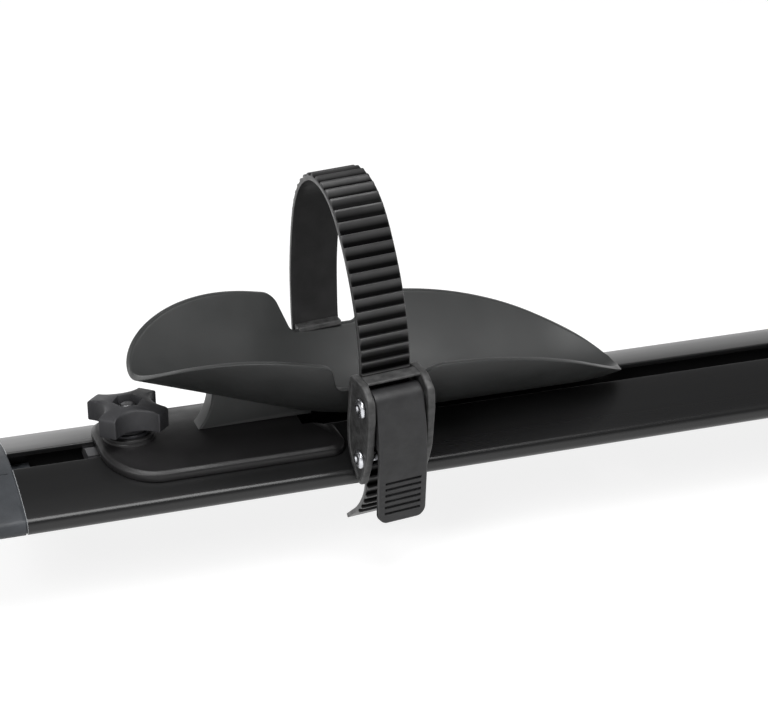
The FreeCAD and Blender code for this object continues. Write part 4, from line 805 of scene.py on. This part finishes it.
right_cheek = slab(rounded(CHEEK, CHEEK_ROUNDS, 12), INSIDE, OUTSIDE, 0.9, "yzx", panel=(3.0, 0.5))
left_cheek = (right_cheek[0] * (-1, 1, 1), [face[::-1] for face in right_cheek[1]])
back_plate = slab(hook_profile(-1, 50.6, 2.5, -3), -INSIDE, INSIDE, 0.3, "yzx")
guide = slab(rounded([(-67.5, 46), (-58.5, 45), (-58.5, 47.6), (-67.5, 47.4)], 0.6, 5), -INSIDE, INSIDE,
             0.1,
             "yzx")
hook = slab(hook_profile(1, 48.25, 3.4, 12), -HALF_HOOK, HALF_HOOK, 0.5, "yzx")
dome = [(0, 0), (4, 0), (4, 0.3), (3.6, 0.9), (2.6, 1.4), (1.4, 1.6), (0, 1.6)]
shaft = [(0, -1), (3.8, -1), (4, -0.8), (4, 0), (2.2, 0), (2.2, 6), (0, 6)]
rivets = [lathe(profile, (x, y, RIVET_Z), "y")
          for profile, y in ((dome, 50.8), (shaft, 44.85)) for x in (-RIVET_X, RIVET_X)]
for side in SIDES:
    holder = side + "_holder"
    piece(side + "_buckle_frame_moulding", [right_cheek, left_cheek, back_plate, guide], on_strap, side,
          holder,
          side + "_buckle_frame", "buckle_plastic", 45)
    piece(side + "_strap_hook_moulding", [hook], on_strap, side, holder, side + "_strap_hook",
          "buckle_plastic", 45)
    piece(side + "_strap_rivets_domed", rivets, on_strap, side, holder, side + "_strap_rivets", "zinc", 40)
print("buckle is", 2 * OUTSIDE, "mm wide")

# %% [markdown]
# The pins are zinc-plated rivets. Their heads are turned: a low dome, closed by the riveting tool,
# which leaves a dimple in the middle. The head's profile is a short list of radius and height.

# %% Pins
HEAD = [(5.0, 0.0), (5.0, 0.5), (4.85, 0.95), (4.4, 1.45), (3.6, 1.85), (2.7, 2.1), (2.1, 2.15), (1.7, 1.9),
        (1.3, 1.45), (0.7, 1.2), (0, 1.15)]
PIN_RADIUS = 2.5


def pin(spot):
    """Shank across both cheeks with a dimpled head at each end."""
    shank = [(PIN_RADIUS, -OUTSIDE), (PIN_RADIUS, OUTSIDE)]
    heads = [(r, OUTSIDE + h) for r, h in HEAD]
    profile = [(r, -z) for r, z in heads[::-1]] + shank + heads
    return lathe(profile, (0, *spot), "x", count=64)


LEVER_PIN, HOLD_PIN, DRIVE_PIN = (-67, 34.5), (-60.5, 3), (-68.6, 19)
for side in SIDES:
    for node, spot_yz in ((side + "_lever_pin", LEVER_PIN), (side + "_hold_pawl_pin", HOLD_PIN)):
        piece(node + "_riveted", [pin(spot_yz)], on_strap, side, side + "_holder", node, "zinc", 40)
print("pins at", LEVER_PIN, HOLD_PIN)

# %% [markdown]
# The lever folds down over the strap. Seen from the side it is one outline: a hub round the upper pin
# that runs into a long, slightly hollow plate. Across its width every row has the same outline, but its
# half width is cut back near the foot with a 6 mm circle, and six slots are pressed in for the thumb.

# %% Lever
HALF_LEVER, BEVEL, TOE_ROUND = 13.2, 0.9, 6
BACK, TOE = np.array([-75.2, 0]), np.array([-68.6, -33.5])
FIRST_SLOT, SLOT_STEP, SLOT_HALF, SLOT_DEEP = 6.8, 3.9, 0.82, 1.2
lever_outline = rounded([(-58.2, 43.3), (-74, 42.7), (-76.8, 21), BACK, TOE, (-64.6, TOE[1]), (-71.2, 0),
                         (-72.8, 12), (-64.4, 14), (-58.2, 26.7)],
                        [8.6, 7, 60, 90, 1.6, 1.6, 90, 2, 3, 5], 14)
run = (BACK - TOE) / np.linalg.norm(BACK - TOE)
closed = np.concatenate([lever_outline, lever_outline[:1]])
track = travelled(closed)
slots_from = track[np.argmin(np.abs(lever_outline[:, 1] - 4) + 50 * (lever_outline[:, 0] > -73))]
slots_to = track[np.argmin(np.linalg.norm(lever_outline - TOE, axis=1))]
dense = np.concatenate([np.linspace(0, track[-1], 160, endpoint=False),
                        np.linspace(slots_from, slots_to, 170)])
lever_loop = along_line(closed, np.unique(np.round(dense, 4)))
up, depth = (lever_loop - TOE) @ run, (lever_loop - TOE) @ np.array([run[1], -run[0]])
front = (depth < 1.2) & (up > 3) & (up < 32)
slot_centre = FIRST_SLOT + SLOT_STEP * np.round((up - FIRST_SLOT) / SLOT_STEP)
in_slot = front & (np.abs(up - slot_centre) < SLOT_HALF) & (slot_centre > 6) & (slot_centre < 27)
narrow = np.clip((TOE[1] + TOE_ROUND - lever_loop[:, 1]) / TOE_ROUND, 0, 1)
half_wide = HALF_LEVER - TOE_ROUND + TOE_ROUND * np.sqrt(np.maximum(1 - narrow ** 2, 0))
bevel = np.radians(np.linspace(90, 0, 5))
levels = np.concatenate([HALF_LEVER - BEVEL * (1 - np.sin(bevel)), HALF_LEVER - np.array([3.2, 3.35, 3.6]),
                         [7, 3.5]])
pull = np.concatenate([BEVEL * (1 - np.cos(bevel)), np.zeros(5)])
levels = np.concatenate([levels, [0], -levels[::-1]])
pull = np.concatenate([pull, [0], pull[::-1]])
cut_in = SLOT_DEEP * (np.abs(levels) < HALF_LEVER - 3.3)[:, None] * in_slot[None]
moved = lever_loop[None] + inward(lever_loop)[None] * (pull[:, None] + cut_in)[:, :, None]
lever_grid = np.dstack([levels[:, None] * (half_wide / HALF_LEVER)[None], moved])
pawl_pocket = slab(rounded([(-72.8, 3), (-40, 3), (-40, 24.9), (-72.8, 24.9)], 0.6, 3), -10, 10, 0.2, "yzx")
for side in SIDES:
    node = side + "_lever"
    lever = piece(node + "_moulding", [skin(lever_grid)], on_strap, side, side + "_ratchet_lever", node,
                  "buckle_plastic", 50, "lever_plastic")
    carve(lever, [pawl_pocket], on_strap, side)
print("lever outline has", len(lever_loop), "points,", int(in_slot.sum()), "of them in slots")

# %% [markdown]
# Each pawl is pressed against the teeth by a small torsion spring on its pin. It is a wire wound in a
# helix: the wire's round section is carried along a line that turns and climbs at an even rate.

# %% Pawl springs
def coil(spot, inner, wide, wire=0.8, turns=5):
    """A tube of the wire's radius along a helix about X, from -wide / 2 to wide / 2."""
    t = np.linspace(0, 1, 28 * turns)
    a = 2 * math.pi * turns * t
    r = inner + wire / 2
    centre = np.stack([(t - 0.5) * (wide - wire), r * np.cos(a), r * np.sin(a)], 1)
    radial = np.stack([np.zeros_like(a), np.cos(a), np.sin(a)], 1)
    ring = np.linspace(0, 2 * math.pi, 8, endpoint=False)
    tube = centre[:, None] + wire / 2 * (np.cos(ring)[None, :, None] * radial[:, None]
                                         + np.sin(ring)[None, :, None] * np.array([1.0, 0, 0]))
    return skin(tube + np.array([0, *spot], float))


for side in SIDES:
    for node, spot_yz, core, body in ((side + "_drive_pawl_spring", DRIVE_PIN, 1.65,
                                       side + "_ratchet_lever"),
                                      (side + "_hold_pawl_spring", HOLD_PIN, 2.65, side + "_holder")):
        piece(node + "_coil", [coil(spot_yz, core, 5.0)], on_strap, side, body, node, "pawl_metal", 60)
print("springs of 0.8 mm wire, 5 turns")

# %% [markdown]
# What is stamped or cut from plain metal and sits inside keeps its CAD shape: the slide bar, the screws
# under the plate, the two pawls and the thin pin in the lever. They only get their finish.

# %% Finish on the CAD pieces that stay
STAY = {"cradle_screws": "zinc", "slide_bar": "bar_metal", "drive_pawl": "pawl_metal",
        "drive_pawl_pin": "zinc", "hold_pawl": "pawl_metal"}
for side in SIDES:
    for name, slot in STAY.items():
        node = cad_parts[side + "_" + name]
        if not node.material_slots:
            node.data.materials.append(PAINT[slot])
        for held in node.material_slots:
            held.material = PAINT[slot]
print("CAD pieces kept with a finish:", len(SIDES) * len(STAY))

# %% [markdown]
# The photograph is a studio cut-out: soft light from above, a white surround and hardly a shadow. The
# floor is a wide pale sheet. What the camera sees of the world is white, while the world that lights
# the pieces is bright near the horizon and dark above it, because black metal and plastic show what
# they reflect: the rail's crown mirrors the dark part and its far edge the bright one.

# %% Floor
FLOOR_HALF, FLOOR_Z, TILES = 6, -0.05, 12
ticks = np.linspace(-FLOOR_HALF, FLOOR_HALF, TILES + 1)
grid_x, grid_y = np.meshgrid(ticks, ticks, indexing="ij")
floor_points = np.stack([grid_x, grid_y, np.full_like(grid_x, FLOOR_Z)], -1).reshape(-1, 3)
i, j = np.meshgrid(np.arange(TILES), np.arange(TILES), indexing="ij")
first = i * (TILES + 1) + j
floor_faces = np.stack([first, first + TILES + 1, first + TILES + 2, first + 1], -1).reshape(-1, 4)
floor_mesh = bpy.data.meshes.new("floor")
floor_mesh.from_pydata(floor_points, [], floor_faces.tolist())
floor = bpy.data.objects.new("floor", floor_mesh)
bpy.context.scene.collection.objects.link(floor)
paper = bpy.data.materials.new("pale_paper")
paper.use_nodes = True
nodes, links = paper.node_tree.nodes, paper.node_tree.links
shader = nodes["Principled BSDF"]
shader.inputs["Base Color"].default_value = (0.3, 0.3, 0.3, 1)
shader.inputs["Roughness"].default_value = 0.9
shader.inputs["Specular IOR Level"].default_value = 0.1
rays = nodes.new("ShaderNodeLightPath")
either = nodes.new("ShaderNodeMath")
either.operation = "MAXIMUM"
links.new(rays.outputs["Is Camera Ray"], either.inputs[0])
links.new(rays.outputs["Is Glossy Ray"], either.inputs[1])
seen = nodes.new("ShaderNodeMath")
seen.operation = "MULTIPLY"
seen.inputs[1].default_value = 0.82
links.new(either.outputs["Value"], seen.inputs[0])
shader.inputs["Emission Color"].default_value = (1, 1, 1, 1)
links.new(seen.outputs["Value"], shader.inputs["Emission Strength"])
floor_mesh.materials.append(paper)
print("floor is", 2 * FLOOR_HALF, "m wide")

# %% World
world = bpy.data.worlds.new("studio")
bpy.context.scene.world = world
world.use_nodes = True
nodes, links = world.node_tree.nodes, world.node_tree.links
where = nodes.new("ShaderNodeTexCoord")
parts_of = nodes.new("ShaderNodeSeparateXYZ")
links.new(where.outputs["Generated"], parts_of.inputs["Vector"])
height_share = nodes.new("ShaderNodeMapRange")
height_share.inputs["From Min"].default_value, height_share.inputs["From Max"].default_value = -1, 1
links.new(parts_of.outputs["Z"], height_share.inputs["Value"])
dome_light = nodes.new("ShaderNodeValToRGB")
for at, level in ((0.5, 0.8), (0.55, 0.85), (0.59, 0.8), (0.67, 0.24), (0.75, 0.09), (0.92, 0.11)):
    stop = dome_light.color_ramp.elements.new(at)
    stop.color = (level, level, level, 1)
for stop, level in ((dome_light.color_ramp.elements[0], 0.5), (dome_light.color_ramp.elements[-1], 0.3)):
    stop.color = (level, level, level, 1)
links.new(height_share.outputs["Result"], dome_light.inputs["Fac"])
rays = nodes.new("ShaderNodeLightPath")
choose = nodes.new("ShaderNodeMix")
links.new(rays.outputs["Is Camera Ray"], choose.inputs["Factor"])
links.new(dome_light.outputs["Color"], choose.inputs["A"])
choose.inputs["B"].default_value = 1.0
links.new(choose.outputs["Result"], nodes["Background"].inputs["Strength"])
nodes["Background"].inputs["Color"].default_value = (1, 1, 1, 1)
print("the world has", len(dome_light.color_ramp.elements), "levels of light")

# %% [markdown]
# Four square soft boxes give the highlights: a broad one overhead, a key from the left, a faint one
# behind the rail for its back edge, and one for the far holder. The camera's place and lens come from
# the rail's straight edges in the photograph.

# %% Lamps and camera
def lamp(name, place, aim, size, watts):
    """A square soft box at a place, turned to its aim."""
    data = bpy.data.lights.new(name, "AREA")
    data.shape, data.size, data.energy = "SQUARE", size, watts
    thing = bpy.data.objects.new(name, data)
    thing.location = place
    way = np.array(aim, float) - place
    flat = math.hypot(way[0], way[1])
    thing.rotation_euler = (math.atan2(flat, -way[2]), 0, math.atan2(way[1], way[0]) - math.pi / 2)
    bpy.context.scene.collection.objects.link(thing)


lamp("overhead", (-0.5, -0.55, 1.9), (-0.4, 0, 0), 1.2, 30)
lamp("key", (-1.9, -1.3, 1.5), (-0.5, 0, 0.05), 0.9, 22)
lamp("rim", (-0.9, 2.3, 0.35), (-0.3, 0, 0.1), 1.2, 4)
lamp("far end", (2.2, -0.9, 1.2), (0.5, 0, 0), 1.0, 8)

camera = bpy.data.cameras.new("camera")
camera.sensor_width, camera.lens = 36.0, 91.875
eye = bpy.data.objects.new("camera", camera)
eye.location = (-0.8156, -0.9174, 0.4671)
eye.rotation_euler = (math.radians(66.851), 0, math.radians(-19.215))
bpy.context.scene.collection.objects.link(eye)
bpy.context.scene.camera = eye
bpy.context.scene.view_settings.view_transform = "Standard"
print("camera at", tuple(eye.location))
